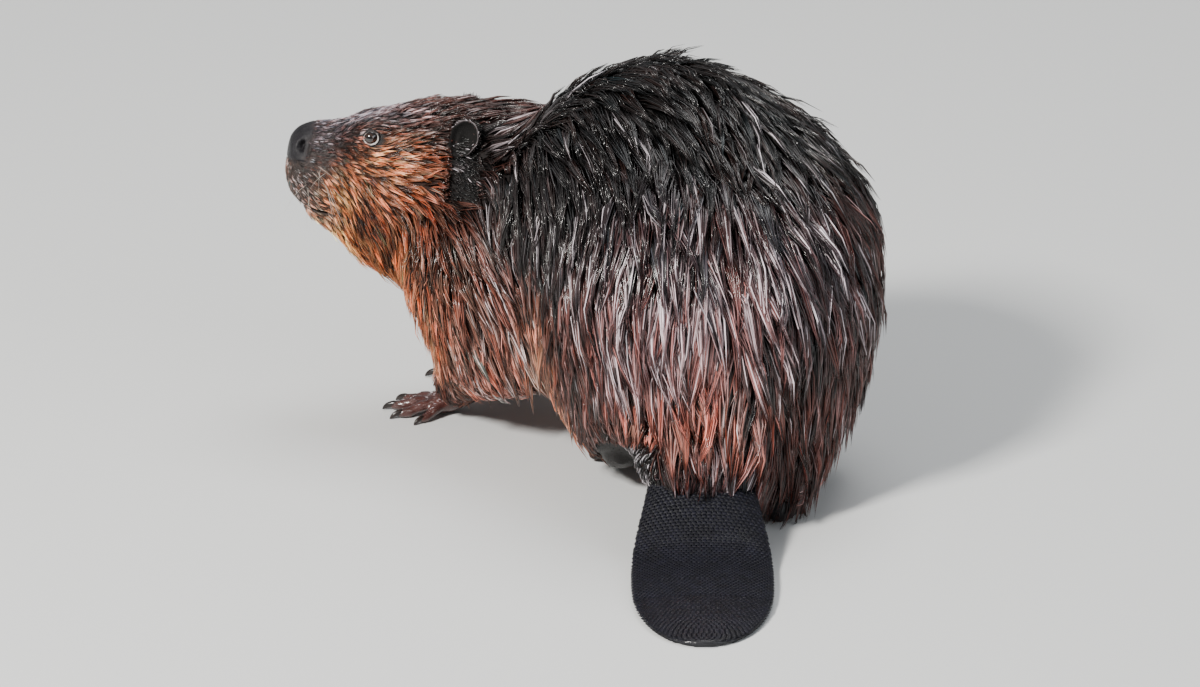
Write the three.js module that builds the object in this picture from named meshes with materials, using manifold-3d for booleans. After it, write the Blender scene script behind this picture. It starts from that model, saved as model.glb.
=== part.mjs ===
// A North American beaver, life size, as a still museum model.
// It stands at the water's edge with its rump low and round, its tail flat on the ground
// behind it, and its forequarters, neck and head turned sharply to its left.
//
// Millimetres, +Z up. The hindquarters face about +Y, the tail points to -Y and the nose
// to -X. The origin is the middle of the model's footprint box, on the ground.
//
// The body is one smooth blend of rounded masses (an implicit surface), outlined at the
// tips of the coat. It is polygonised, then parted with thin cuts into the parts of the
// animal. Tail, feet, claws, ears, eyes and teeth are made on their own.

import * as THREE from "three";
import { mergeVertices } from "three/addons/utils/BufferGeometryUtils.js";
import Module from "manifold-3d";

const wasm = await Module();
wasm.setup();

// ---------------------------------------------------------------- driving sizes

const cutGap = 0.4; // between two parts of the body
const bodyCell = 35; // grid of the trunk and neck
const thighCell = 25; // finer grids of the hind legs,
const limbCell = 17; // the forelegs and the root of the tail
const headCell = 14; // and the head
const earSpot = { x: -1, z: 2 }; // middle of the ears, in the head's frame
const eyeSpot = new THREE.Vector3(79, 34.5, 0); // middle of the left eyeball, in the head's frame
const eyeRadius = 8.2;

const wet = { black: 0x16100e, dark: 0x2a1913, brown: 0x4a2a1c, rust: 0x6d3a1f };

const hideMaterial = (color) =>
  new THREE.MeshStandardMaterial({ color, roughness: 0.55, metalness: 0 });
const materials = {
  backFur: hideMaterial(wet.dark),
  cheekFur: hideMaterial(wet.rust),
  legFur: hideMaterial(wet.brown),
  bareSkin: new THREE.MeshStandardMaterial({ color: wet.black, roughness: 0.4, metalness: 0 }),
  eye: new THREE.MeshStandardMaterial({ color: 0x1d130d, roughness: 0.05, metalness: 0 }),
  enamel: new THREE.MeshStandardMaterial({ color: 0xc96a1c, roughness: 0.35, metalness: 0 }),
};

// ---------------------------------------------------------------- frames

// A frame of the animal: x forward, y to its left, z up. The heading is in degrees to the
// left of +Y, pitch lifts the front, and roll lifts the left side.
function frameAt(origin, heading, pitch = 0, roll = 0) {
  const rad = THREE.MathUtils.degToRad;
  return new THREE.Matrix4()
    .makeTranslation(...origin)
    .multiply(new THREE.Matrix4().makeRotationZ(rad(90 + heading)))
    .multiply(new THREE.Matrix4().makeRotationY(rad(-pitch)))
    .multiply(new THREE.Matrix4().makeRotationX(rad(roll)));
}

const ground = frameAt([0, 0, 0], 90 - 180); // x right, y away from the tail
const hips = frameAt([0, 0, 0], 14);
const chest = frameAt([-140, 150, 0], 62);
const neck = frameAt([-205, 172, 0], 80);
const head = frameAt([-217, 195, 258], 90, 0, 9);

// ---------------------------------------------------------------- implicit masses

// A rounded mass: an ellipsoid in a frame, pitched about its own middle.
function mass(frame, centre, radii, pitch = 0) {
  const toLocal = frame
    .clone()
    .multiply(new THREE.Matrix4().makeTranslation(...centre))
    .multiply(new THREE.Matrix4().makeRotationY(THREE.MathUtils.degToRad(-pitch)))
    .invert();
  const p = new THREE.Vector3();
  return (point) => {
    p.copy(point).applyMatrix4(toLocal);
    const byRadius = Math.hypot(p.x / radii[0], p.y / radii[1], p.z / radii[2]);
    const bySquare = Math.hypot(p.x / radii[0] ** 2, p.y / radii[1] ** 2, p.z / radii[2] ** 2);
    return bySquare < 1e-9 ? -Math.min(...radii) : (byRadius * (byRadius - 1)) / bySquare;
  };
}

// A limb: two balls joined by a straight taper.
function limb(frame, from, fromRadius, to, toRadius) {
  const a = new THREE.Vector3(...from).applyMatrix4(frame);
  const b = new THREE.Vector3(...to).applyMatrix4(frame);
  const along = b.clone().sub(a);
  const p = new THREE.Vector3();
  return (point) => {
    p.copy(point).sub(a);
    const t = THREE.MathUtils.clamp(p.dot(along) / along.lengthSq(), 0, 1);
    return p.addScaledVector(along, -t).length() - THREE.MathUtils.lerp(fromRadius, toRadius, t);
  };
}

// Joins fields with a fillet about as wide as the blend.
function blended(blend, fields) {
  return (point) => {
    let d = fields[0](point);
    for (let i = 1; i < fields.length; i++) {
      const e = fields[i](point);
      const h = Math.max(blend - Math.abs(d - e), 0) / blend;
      d = Math.min(d, e) - (h * h * blend) / 4;
    }
    return d;
  };
}

const bothSides = (make) => [1, -1].flatMap(make);

// ---------------------------------------------------------------- the body's masses

const trunkMasses = [
  mass(hips, [0, 0, 176], [132, 144, 144]), // rump
  mass(ground, [-38, 76, 223], [146, 132, 142]), // high round back
  mass(ground, [34, 62, 208], [114, 114, 110]), // flank outside the bend
  mass(chest, [0, 0, 172], [118, 106, 112]), // rib cage
  mass(ground, [-58, 92, 122], [112, 110, 76]), // belly
  ...bothSides((side) => [mass(chest, [42, side * 56, 142], [68, 50, 88])]), // shoulders
];

const neckMasses = [
  mass(neck, [-28, -12, 198], [78, 67, 84]),
  mass(neck, [38, -22, 186], [66, 50, 78]),
];

const headMasses = [
  mass(head, [8, 0, -14], [80, 52, 40]), // braincase
  limb(head, [20, 0, -10], 34, [122, 0, -12], 18), // forehead to nose bridge
  limb(head, [134, 0, -13], 17, [132, 0, -42], 18), // blunt nose and upper lip
  mass(head, [108, 0, -30], [44, 28, 32]), // muzzle
  ...bothSides((side) => [
    limb(head, [56, side * 16, -30], 32, [112, side * 7, -34], 22), // side of the muzzle
    mass(head, [122, side * 13, -43], [28, 18, 24]), // whisker pad
    mass(head, [44, side * 28, -46], [56, 33, 44]), // cheek
    mass(head, [80, side * 26, 2], [20, 12, 12]), // brow over the eye
  ]),
  mass(head, [104, 0, -71], [33, 21, 21]), // chin
  mass(head, [50, 0, -84], [62, 38, 46]), // throat
];

// Both pairs of legs, left first. A part is the coarse oval that parts the leg from the trunk.
const hindLegs = [
  {
    side: "left",
    thigh: [-86, 26, 132],
    size: [58, 84, 78],
    knee: [-98, 72, 96],
    ankle: [-78, 0, 60],
    calf: [-84, 6, 84],
    part: [-92, 28, 108],
  },
  {
    side: "right",
    thigh: [80, 14, 126],
    size: [56, 84, 94],
    knee: [84, 40, 88],
    ankle: [60, -64, 44],
    calf: [68, -44, 66],
    part: [88, 4, 104],
  },
];
const foreLegs = [
  {
    side: "left",
    shoulder: [-196, 118, 150],
    elbow: [-180, 106, 86],
    wrist: [-226, 158, 30],
    part: [-204, 112, 76],
  },
  {
    side: "right",
    shoulder: [-130, 214, 150],
    elbow: [-128, 226, 86],
    wrist: [-194, 236, 30],
    part: [-162, 238, 76],
  },
];
const legPart = { hind: [74, 112, 118], fore: [68, 62, 96] };

const hindLegMasses = ({ thigh, size, knee, ankle, calf }) => [
  mass(ground, thigh, size),
  mass(ground, calf, [34, 46, 50]),
  limb(ground, knee, 44, ankle, 27),
];
const foreLegMasses = ({ shoulder, elbow, wrist }) => [
  limb(ground, shoulder, 52, elbow, 37),
  limb(ground, elbow, 34, wrist, 20),
];

const tailRootMasses = [
  mass(ground, [-6, -76, 86], [64, 56, 58]),
  mass(ground, [-8, -104, 62], [52, 30, 34]),
];

const body = blended(30, [
  ...trunkMasses,
  ...tailRootMasses,
  ...neckMasses,
  blended(16, headMasses),
  ...hindLegs.flatMap(hindLegMasses),
  ...foreLegs.flatMap(foreLegMasses),
]);

// ---------------------------------------------------------------- polygonising

// Surface nets: one vertex in each grid cell that the surface crosses, moved onto it.
function polygonised(field, box, cell) {
  const size = box.getSize(new THREE.Vector3());
  const count = size.toArray().map((length) => Math.ceil(length / cell) + 2);
  const at = (i, j, k, target) =>
    target.set(
      box.min.x + (i - 0.5) * cell,
      box.min.y + (j - 0.5) * cell,
      box.min.z + (k - 0.5) * cell,
    );
  const index = (i, j, k) => (k * count[1] + j) * count[0] + i;
  const atEdge = (...place) => place.some((n, axis) => n === 0 || n === count[axis] - 1);
  const values = new Float32Array(count[0] * count[1] * count[2]);
  const p = new THREE.Vector3();
  for (let k = 0; k < count[2]; k++)
    for (let j = 0; j < count[1]; j++)
      for (let i = 0; i < count[0]; i++)
        values[index(i, j, k)] = atEdge(i, j, k) ? cell : field(at(i, j, k, p));

  const corners = [0, 1, 2, 3, 4, 5, 6, 7].map((n) => [n & 1, (n >> 1) & 1, (n >> 2) & 1]);
  const vertexOf = new Map();
  const positions = [];
  const a = new THREE.Vector3();
  const b = new THREE.Vector3();
  const vertex = (i, j, k) => {
    const key = index(i, j, k);
    if (vertexOf.has(key)) return vertexOf.get(key);
    const sum = new THREE.Vector3();
    let crossings = 0;
    for (const c of corners)
      for (let axis = 0; axis < 3; axis++) {
        if (c[axis]) continue;
        const d = c.map((value, n) => (n === axis ? 1 : value));
        const from = values[index(i + c[0], j + c[1], k + c[2])];
        const to = values[index(i + d[0], j + d[1], k + d[2])];
        if (from < 0 === to < 0) continue;
        at(i + c[0], j + c[1], k + c[2], a);
        at(i + d[0], j + d[1], k + d[2], b);
        sum.add(a.lerp(b, from / (from - to)));
        crossings++;
      }
    sum.divideScalar(crossings);
    vertexOf.set(key, positions.length / 3);
    positions.push(...ontoSurface(field, sum, cell).toArray());
    return positions.length / 3 - 1;
  };

  const faces = [];
  const point = (n) => new THREE.Vector3(...positions.slice(3 * n, 3 * n + 3));
  const quad = (loop) => {
    const [q, r, s, t] = loop;
    if (point(q).distanceTo(point(s)) < point(r).distanceTo(point(t))) faces.push(q, r, s, q, s, t);
    else faces.push(q, r, t, r, s, t);
  };
  for (let k = 0; k < count[2] - 1; k++)
    for (let j = 0; j < count[1] - 1; j++)
      for (let i = 0; i < count[0] - 1; i++) {
        const inside = values[index(i, j, k)] < 0;
        const steps = [[1, 0, 0], [0, 1, 0], [0, 0, 1]];
        steps.forEach(([di, dj, dk], axis) => {
          if (inside === values[index(i + di, j + dj, k + dk)] < 0) return;
          const [u, v] = [steps[(axis + 1) % 3], steps[(axis + 2) % 3]];
          const corner = (su, sv) =>
            vertex(i - su * u[0] - sv * v[0], j - su * u[1] - sv * v[1], k - su * u[2] - sv * v[2]);
          const loop = [corner(0, 0), corner(1, 0), corner(1, 1), corner(0, 1)];
          quad(inside ? loop : loop.reverse());
        });
      }
  const geometry = new THREE.BufferGeometry();
  geometry.setAttribute("position", new THREE.Float32BufferAttribute(positions, 3));
  geometry.setIndex(faces);
  return geometry;
}

// Steps a point down the field's slope to the surface, staying near its grid cell.
function ontoSurface(field, start, cell) {
  const p = start.clone();
  const step = 0.5;
  for (let turn = 0; turn < 3; turn++) {
    const here = field(p);
    const slope = new THREE.Vector3(
      field(p.clone().setX(p.x + step)) - here,
      field(p.clone().setY(p.y + step)) - here,
      field(p.clone().setZ(p.z + step)) - here,
    ).divideScalar(step);
    p.addScaledVector(slope, -here / Math.max(slope.lengthSq(), 0.1));
  }
  return p.distanceTo(start) < cell ? p : start;
}

// ---------------------------------------------------------------- solids and cuts

function solidOf(geometry) {
  const bare = new THREE.BufferGeometry();
  bare.setAttribute("position", geometry.attributes.position.clone());
  if (geometry.index) bare.setIndex(geometry.index.clone());
  const merged = mergeVertices(bare, 1e-3);
  return new wasm.Manifold(
    new wasm.Mesh({
      numProp: 3,
      vertProperties: new Float32Array(merged.attributes.position.array),
      triVerts: new Uint32Array(merged.index.array),
    }),
  );
}

// The largest single body of a solid, as a geometry.
function geometryOf(solid) {
  const bodies = solid.decompose().sort((a, b) => b.volume() - a.volume());
  const mesh = bodies[0].getMesh();
  const geometry = new THREE.BufferGeometry();
  const places = new Float32Array(mesh.numVert * 3);
  for (let i = 0; i < mesh.numVert; i++)
    places.set(mesh.vertProperties.subarray(i * mesh.numProp, i * mesh.numProp + 3), i * 3);
  geometry.setAttribute("position", new THREE.BufferAttribute(places, 3));
  geometry.setIndex(new THREE.BufferAttribute(mesh.triVerts, 1));
  geometry.computeVertexNormals();
  return geometry;
}

// The same shape with its surface moved outwards.
function grown(geometry, by) {
  const moved = geometry.clone();
  moved.computeVertexNormals();
  const place = moved.attributes.position;
  const normal = moved.attributes.normal;
  for (let i = 0; i < place.count; i++)
    place.setXYZ(
      i,
      place.getX(i) + by * normal.getX(i),
      place.getY(i) + by * normal.getY(i),
      place.getZ(i) + by * normal.getZ(i),
    );
  return moved;
}

const farAway = 900;

// Everything ahead of a plane that crosses a frame's x axis.
function halfSpace(frame, from) {
  const box = new THREE.BoxGeometry(farAway, farAway, farAway);
  box.translate(from + farAway / 2, 0, 0);
  return solidOf(box.applyMatrix4(frame));
}

// A rounded cutter: an ellipsoid in a frame, pitched about its own middle.
function ovalCutter(frame, centre, radii, pitch, margin) {
  const ball = new THREE.SphereGeometry(1, 14, 9);
  ball.scale(...radii.map((r) => r + margin));
  ball.rotateY(THREE.MathUtils.degToRad(-pitch));
  ball.translate(...centre);
  return solidOf(ball.applyMatrix4(frame));
}

// ---------------------------------------------------------------- lofted pieces

// A closed skin over rings of points, each ring in order around the piece.
function lofted(rings) {
  const sides = rings[0].length;
  const positions = rings.flat().flatMap((p) => p.toArray());
  const faces = [];
  for (let i = 0; i < rings.length - 1; i++)
    for (let j = 0; j < sides; j++) {
      const [a, b] = [i * sides + j, i * sides + ((j + 1) % sides)];
      faces.push(a, b, b + sides, a, b + sides, a + sides);
    }
  [rings[0], rings.at(-1)].forEach((ring, end) => {
    const middle = ring.reduce((sum, p) => sum.add(p), new THREE.Vector3()).divideScalar(sides);
    positions.push(...middle.toArray());
    const apex = rings.length * sides + end;
    const first = end * (rings.length - 1) * sides;
    for (let j = 0; j < sides; j++) {
      const [a, b] = [first + j, first + ((j + 1) % sides)];
      faces.push(...(end ? [a, b, apex] : [b, a, apex]));
    }
  });
  const geometry = new THREE.BufferGeometry();
  geometry.setAttribute("position", new THREE.Float32BufferAttribute(positions, 3));
  geometry.setIndex(faces);
  return geometry;
}

// A round finger through stations, each [x, y, z, radius, flatness].
function finger(stations, sides = 5) {
  const at = (i) => new THREE.Vector3(...stations[i].slice(0, 3));
  const rings = stations.map(([, , , radius, flatness = 1], i) => {
    const before = at(Math.max(i - 1, 0));
    const along = at(Math.min(i + 1, stations.length - 1)).sub(before).normalize();
    const across = new THREE.Vector3(0, 0, 1).cross(along).normalize();
    const over = along.clone().cross(across);
    return Array.from({ length: sides }, (_, j) => {
      const angle = (2 * Math.PI * (j + 0.5)) / sides;
      return at(i)
        .addScaledVector(across, radius * Math.cos(angle))
        .addScaledVector(over, radius * flatness * Math.sin(angle));
    });
  });
  return lofted(rings);
}

// ---------------------------------------------------------------- feet

// A toe from its root to its tip, with a claw that curves down to the ground.
function toe(root, tip, radius, clawLength) {
  const along = tip.clone().sub(root);
  const out = along.clone().setZ(0).normalize();
  const knuckle = root.clone().addScaledVector(along, 0.5).setZ(Math.max(root.z * 0.62, tip.z + 4));
  const beyond = (distance, z) => tip.clone().addScaledVector(out, distance).setZ(z);
  return solidOf(
    finger([
      [...root, radius * 1.05],
      [...knuckle, radius],
      [...tip, radius * 0.92],
      [...beyond(radius * 0.8, tip.z), radius * 0.48],
      [...beyond(radius * 0.6 + clawLength * 0.55, tip.z), radius * 0.4],
      [...beyond(radius * 0.6 + clawLength, 1.6), 0.8],
    ]),
  );
}

// The toes of a left foot in its own frame: heel at the origin, x forward, ground at z = 0.
// Every toe is [direction in degrees to the animal's left, reach, radius, claw length].
const forePaw = {
  palm: [[0, 0, 22, 15], [14, 0, 13, 15], [30, 0, 7.6, 13]],
  rootAt: 26,
  fan: 15,
  toes: [[-46, 42, 4, 6], [-20, 58, 5, 12], [-2, 64, 5.2, 13], [16, 60, 5, 12], [36, 48, 4.4, 10]],
};

function foreFoot(frame, side) {
  const pieces = [solidOf(finger(forePaw.palm.map(([x, y, z, r]) => [x, y, z, r, 0.8]), 6))];
  for (const [turn, reach, radius, clawLength] of forePaw.toes) {
    const angle = THREE.MathUtils.degToRad(turn * side);
    const root = new THREE.Vector3(forePaw.rootAt - Math.abs(turn) / 4, forePaw.fan * Math.sin(angle), 8);
    const tip = new THREE.Vector3(reach * Math.cos(angle), reach * Math.sin(angle), radius * 0.76);
    pieces.push(toe(root, tip, radius, clawLength));
  }
  return footSolid(pieces, frame);
}

// A webbed hind foot: a long sole that may be lifted at the heel, five toes and the web.
const hindPaw = {
  soleLength: 82,
  toes: [[-17, 52, 5, 9], [-9, 74, 6.2, 12], [0, 84, 6.6, 13], [10, 82, 6.4, 12], [22, 70, 5.6, 10]],
  webReach: 0.86,
};

function hindFoot(frame, side, heelLift, spread) {
  const length = Math.sqrt(hindPaw.soleLength ** 2 - heelLift ** 2);
  const pieces = [
    finger(
      [
        [-8, 0, heelLift + 15, 9, 1],
        [0, 0, heelLift + 16, 16, 1],
        [length * 0.5, 0, heelLift * 0.45 + 14, 20, 0.72],
        [length, 0, 9, 24, 0.42],
        [length + 10, 0, 7, 18, 0.36],
      ],
      8,
    ),
  ].map(solidOf);
  const tips = hindPaw.toes.map(([turn, reach]) => {
    const angle = THREE.MathUtils.degToRad(turn * 1.5 * spread * side);
    const fan = side * turn * 0.6;
    return new THREE.Vector3(length + reach * Math.cos(angle), fan + reach * Math.sin(angle), 4.2);
  });
  hindPaw.toes.forEach(([turn, , radius, clawLength], i) => {
    const root = new THREE.Vector3(length - Math.abs(turn) / 2, side * turn * 0.9, 8);
    pieces.push(toe(root, tips[i], radius, clawLength));
  });
  const outline = new THREE.Shape();
  const heel = new THREE.Vector3(length - 12, 0, 0);
  tips.forEach((tip, i) => {
    const reach = heel.clone().lerp(tip, hindPaw.webReach);
    if (i === 0) outline.moveTo(length - 14, side * -18).lineTo(reach.x, reach.y);
    else {
      const last = heel.clone().lerp(tips[i - 1], hindPaw.webReach);
      const dip = last.clone().add(reach).multiplyScalar(0.5).lerp(heel, 0.12);
      outline.quadraticCurveTo(dip.x, dip.y, reach.x, reach.y);
    }
  });
  outline.lineTo(length - 14, side * 18);
  const web = new THREE.ExtrudeGeometry(outline, { depth: 5, bevelEnabled: false, curveSegments: 2 });
  web.translate(0, 0, -1);
  pieces.push(solidOf(web));
  return footSolid(pieces, frame);
}

// Joins a foot's pieces and sets it in place, with its pads pressed a little into the ground.
function footSolid(pieces, frame) {
  return pieces.reduce((sum, piece) => sum.add(piece)).simplify(1.3).transform(frame.elements);
}

// ---------------------------------------------------------------- tail

// The bare paddle lies on the ground. Its root rises into the fur of the rump.
const paddle = {
  rootY: -92,
  bendY: -214,
  tipY: -345,
  rootZ: 36,
  middleX: -9,
  halfWidth: 61,
  widestY: -222,
  rootHalfWidth: 45,
  halfThickness: 9,
  rootHalfThickness: 19,
};

const smoothStep = THREE.MathUtils.smoothstep;

function paddleGeometry() {
  const rings = [];
  const steps = 12;
  for (let i = 0; i <= steps; i++) {
    const y = THREE.MathUtils.lerp(paddle.rootY, paddle.tipY + 0.6, 1 - (1 - i / steps) ** 1.4);
    const toTip = THREE.MathUtils.clamp((paddle.widestY - y) / (paddle.widestY - paddle.tipY), 0, 1);
    const widening = Math.sin((smoothStep(-y, -paddle.rootY, -paddle.widestY) * Math.PI) / 2);
    const half =
      THREE.MathUtils.lerp(paddle.rootHalfWidth, paddle.halfWidth, widening) * Math.sqrt(1 - toTip ** 2.4);
    const slope = 1 - smoothStep(-y, -paddle.rootY, -paddle.bendY - 14);
    const thick =
      THREE.MathUtils.lerp(paddle.halfThickness, paddle.rootHalfThickness, slope ** 1.5) * (1 - 0.62 * toTip);
    const rise = paddle.rootZ * slope + thick * 0.72;
    rings.push(
      Array.from({ length: 12 }, (_, j) => {
        const angle = (2 * Math.PI * j) / 12;
        const across = paddle.middleX + Math.max(half, 1) * Math.cos(angle);
        return new THREE.Vector3(across, y, rise + Math.max(thick, 1) * Math.sin(angle));
      }),
    );
  }
  return lofted(rings);
}

// ---------------------------------------------------------------- ears, eyes and teeth

// How far the coat's surface lies from the middle of the head, straight out to one side.
function coatReach(x, z, side) {
  let y = 30;
  while (body(new THREE.Vector3(x, side * y, z).applyMatrix4(head)) < 0) y += 0.5;
  return y;
}

// A small round ear: a thin disc, hollowed on the side that faces forward and out.
function earSolid(side) {
  const reach = coatReach(earSpot.x + 2, earSpot.z + 4, side);
  const frame = head
    .clone()
    .multiply(new THREE.Matrix4().makeTranslation(earSpot.x, side * (reach + 4), earSpot.z))
    .multiply(new THREE.Matrix4().makeRotationZ(side * THREE.MathUtils.degToRad(66)))
    .multiply(new THREE.Matrix4().makeRotationY(THREE.MathUtils.degToRad(-14)));
  const disc = new THREE.SphereGeometry(1, 9, 6).scale(5.5, 14, 18).applyMatrix4(frame);
  const hollow = new THREE.SphereGeometry(1, 8, 4).scale(6.5, 10.5, 14).translate(6.5, 0, 1);
  return solidOf(disc).subtract(solidOf(hollow.applyMatrix4(frame)));
}

function eyeBall(side, radius) {
  const ball = new THREE.SphereGeometry(radius, 10, 7);
  ball.translate(eyeSpot.x, side * eyeSpot.y, eyeSpot.z);
  return solidOf(ball.applyMatrix4(head));
}

// The parted lips, and the tips of the front teeth that show between them.
function mouthOpening() {
  return ovalCutter(head, [133, 0, -62], [22, 13, 4.5], 24, 0);
}

function incisors(margin) {
  const tooth = new THREE.BoxGeometry(4.4 + 2 * margin, 9.5 + 2 * margin, 20 + 2 * margin);
  tooth.rotateY(THREE.MathUtils.degToRad(14)).translate(131, 0, -57);
  return solidOf(tooth.applyMatrix4(head));
}

// ---------------------------------------------------------------- whole body, then its parts

const beaver = new THREE.Group();

function addPart(name, solid, material) {
  const mesh = new THREE.Mesh(geometryOf(solid.trimByPlane([0, 0, 1], 0)), material);
  mesh.name = name;
  beaver.add(mesh);
}

// The body's surface within a box, and the same grown by the gap left around it.
function surfaceIn(from, to, cell) {
  const box = new THREE.Box3(new THREE.Vector3(...from), new THREE.Vector3(...to));
  const solid = solidOf(polygonised(body, box, cell)).simplify(1);
  return { solid, outer: solidOf(grown(geometryOf(solid), cutGap)) };
}
const whole = surfaceIn([-400, -240, -12], [190, 340, 400], bodyCell);
const thighs = surfaceIn([-200, -130, -8], [190, 180, 250], thighCell);
const arms = surfaceIn([-300, 20, -8], [-70, 310, 200], limbCell);
const croup = surfaceIn([-100, -180, -8], [90, -30, 160], limbCell);
const face = surfaceIn([-400, 40, 80], [-150, 300, 330], headCell);

const nape = frameAt([-202, 190, 290], 90, 18);
const shoulders = frameAt([-160, 170, 296], 82, 22);
const aheadOf = (plane) => (margin) => halfSpace(plane, -margin);
const around = (centre, radii) => (margin) => ovalCutter(ground, centre, radii, 0, margin);
const cuts = [
  { name: "head", from: face, cutter: aheadOf(nape) },
  { name: "left_hind_leg", from: thighs, cutter: around(hindLegs[0].part, legPart.hind) },
  { name: "right_hind_leg", from: thighs, cutter: around(hindLegs[1].part, legPart.hind) },
  { name: "left_foreleg", from: arms, cutter: around(foreLegs[0].part, legPart.fore) },
  { name: "right_foreleg", from: arms, cutter: around(foreLegs[1].part, legPart.fore) },
  { name: "tail_root", from: croup, cutter: around([-8, -130, 60], [78, 62, 76]) },
  { name: "neck", from: whole, cutter: aheadOf(shoulders) },
  { name: "trunk", from: whole, cutter: around([0, 0, 0], [farAway, farAway, farAway]) },
];

// Each part is what its cutter takes from its own grid, less what earlier cutters took.
const bodyParts = {};
cuts.forEach(({ name, from, cutter }, i) => {
  let solid = from.solid.intersect(cutter(-cutGap / 2));
  for (const earlier of cuts.slice(0, i)) solid = solid.subtract(earlier.cutter(cutGap / 2));
  bodyParts[name] = solid;
});
const furOf = { trunk: "backFur", tail_root: "backFur", neck: "cheekFur", head: "cheekFur" };
for (const [name, solid] of Object.entries(bodyParts))
  if (name !== "head") addPart(name, solid, materials[furOf[name] ?? "legFur"]);

const eyes = [1, -1].map((side) => eyeBall(side, eyeRadius + cutGap));
const openings = [...eyes, mouthOpening(), incisors(cutGap)];
addPart("head", openings.reduce((sum, opening) => sum.subtract(opening), bodyParts.head), materials.cheekFur);
addPart("incisors", incisors(0), materials.enamel);
[["left", 1], ["right", -1]].forEach(([name, side]) => {
  addPart(`${name}_eye`, eyeBall(side, eyeRadius), materials.eye);
  addPart(`${name}_ear`, earSolid(side).subtract(face.outer), materials.bareSkin);
});

const feet = {
  left_forefoot: foreFoot(frameAt([-214, 170, 0], 89), 1).subtract(arms.outer),
  right_forefoot: foreFoot(frameAt([-178, 244, 0], 82), -1).subtract(arms.outer),
  left_hind_foot: hindFoot(frameAt([-77, -14, 0], 2), 1, 24, 0.45).subtract(thighs.outer),
  right_hind_foot: hindFoot(frameAt([60, -72, 0], 0), -1, 0, 0.8).subtract(thighs.outer),
};
for (const [name, solid] of Object.entries(feet))
  addPart(name, solid.subtract(whole.outer), materials.bareSkin);
addPart("tail", solidOf(paddleGeometry()).subtract(croup.outer.add(whole.outer)), materials.bareSkin);

// ---------------------------------------------------------------- placing

// The footprint's middle goes to the origin, and the soles and tail to the ground.
const bounds = new THREE.Box3().setFromObject(beaver);
const middle = bounds.getCenter(new THREE.Vector3());
for (const mesh of beaver.children) mesh.geometry.translate(-middle.x, -middle.y, -bounds.min.z);

export default beaver;
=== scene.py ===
import math

import bmesh
import bpy
import numpy as np
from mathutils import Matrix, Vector
from mathutils.kdtree import KDTree


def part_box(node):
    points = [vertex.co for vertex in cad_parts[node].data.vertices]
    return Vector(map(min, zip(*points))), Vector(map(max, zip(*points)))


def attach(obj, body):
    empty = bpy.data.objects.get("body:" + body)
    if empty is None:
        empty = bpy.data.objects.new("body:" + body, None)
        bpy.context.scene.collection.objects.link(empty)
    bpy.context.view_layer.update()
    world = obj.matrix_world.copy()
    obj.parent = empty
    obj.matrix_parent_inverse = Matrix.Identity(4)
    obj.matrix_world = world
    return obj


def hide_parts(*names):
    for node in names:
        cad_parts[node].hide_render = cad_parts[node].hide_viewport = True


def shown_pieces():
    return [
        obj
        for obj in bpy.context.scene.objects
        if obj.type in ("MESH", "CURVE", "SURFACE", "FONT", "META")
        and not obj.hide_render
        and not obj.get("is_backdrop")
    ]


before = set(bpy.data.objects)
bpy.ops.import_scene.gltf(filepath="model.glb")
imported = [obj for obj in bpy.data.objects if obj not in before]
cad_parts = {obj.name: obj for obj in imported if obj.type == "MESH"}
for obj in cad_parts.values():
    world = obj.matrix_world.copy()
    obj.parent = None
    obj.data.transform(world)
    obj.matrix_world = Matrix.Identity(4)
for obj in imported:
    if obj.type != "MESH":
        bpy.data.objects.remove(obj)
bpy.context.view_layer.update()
dice = np.random.default_rng(41)
mm = 0.001


def unit(v):
    v = np.asarray(v, float)
    return v / np.maximum(np.linalg.norm(v, axis=-1, keepdims=True), 1e-12)


def ease(low, high, x):
    t = np.clip((np.asarray(x, float) - low) / (high - low), 0, 1)
    return t * t * (3 - 2 * t)


# camera and lights

cameraPlan = {
    "place": (0.01605, -6.41516, 2.7371),
    "lookAt": (0.01605, 0.07514, 0.1149),
    "lens": 241.5,
}
cameraData = bpy.data.cameras.new("camera")
cameraData.lens = cameraPlan["lens"]
cameraData.sensor_width = 36
cameraData.clip_end = 60
camera = bpy.data.objects.new("camera", cameraData)
bpy.context.scene.collection.objects.link(camera)
camera.location = cameraPlan["place"]
gaze = Vector(cameraPlan["lookAt"]) - Vector(cameraPlan["place"])
camera.rotation_euler = gaze.to_track_quat("-Z", "Y").to_euler()
bpy.context.scene.camera = camera

lightPlan = [
    {"name": "key", "place": (-2.3, -2.6, 3.2), "size": 0.8, "power": 430, "tint": (1, 0.97, 0.92)},
    {"name": "fill", "place": (3.0, -2.4, 1.8), "size": 2.6, "power": 60, "tint": (0.9, 0.95, 1)},
    {"name": "top", "place": (0.5, 1.2, 3.4), "size": 1.8, "power": 70, "tint": (1, 1, 1)},
]
for plan in lightPlan:
    lampData = bpy.data.lights.new(plan["name"], "AREA")
    lampData.size = plan["size"]
    lampData.energy = plan["power"]
    lampData.color = plan["tint"]
    lamp = bpy.data.objects.new(plan["name"], lampData)
    bpy.context.scene.collection.objects.link(lamp)
    lamp.location = plan["place"]
    aim = Vector((0.03, 0.08, 0.15)) - Vector(plan["place"])
    lamp.rotation_euler = aim.to_track_quat("-Z", "Y").to_euler()

world = bpy.data.worlds.new("studio")
bpy.context.scene.world = world
world.use_nodes = True
world.node_tree.nodes["Background"].inputs["Color"].default_value = (0.86, 0.88, 0.9, 1)
world.node_tree.nodes["Background"].inputs["Strength"].default_value = 0.34


# mesh helpers

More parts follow.
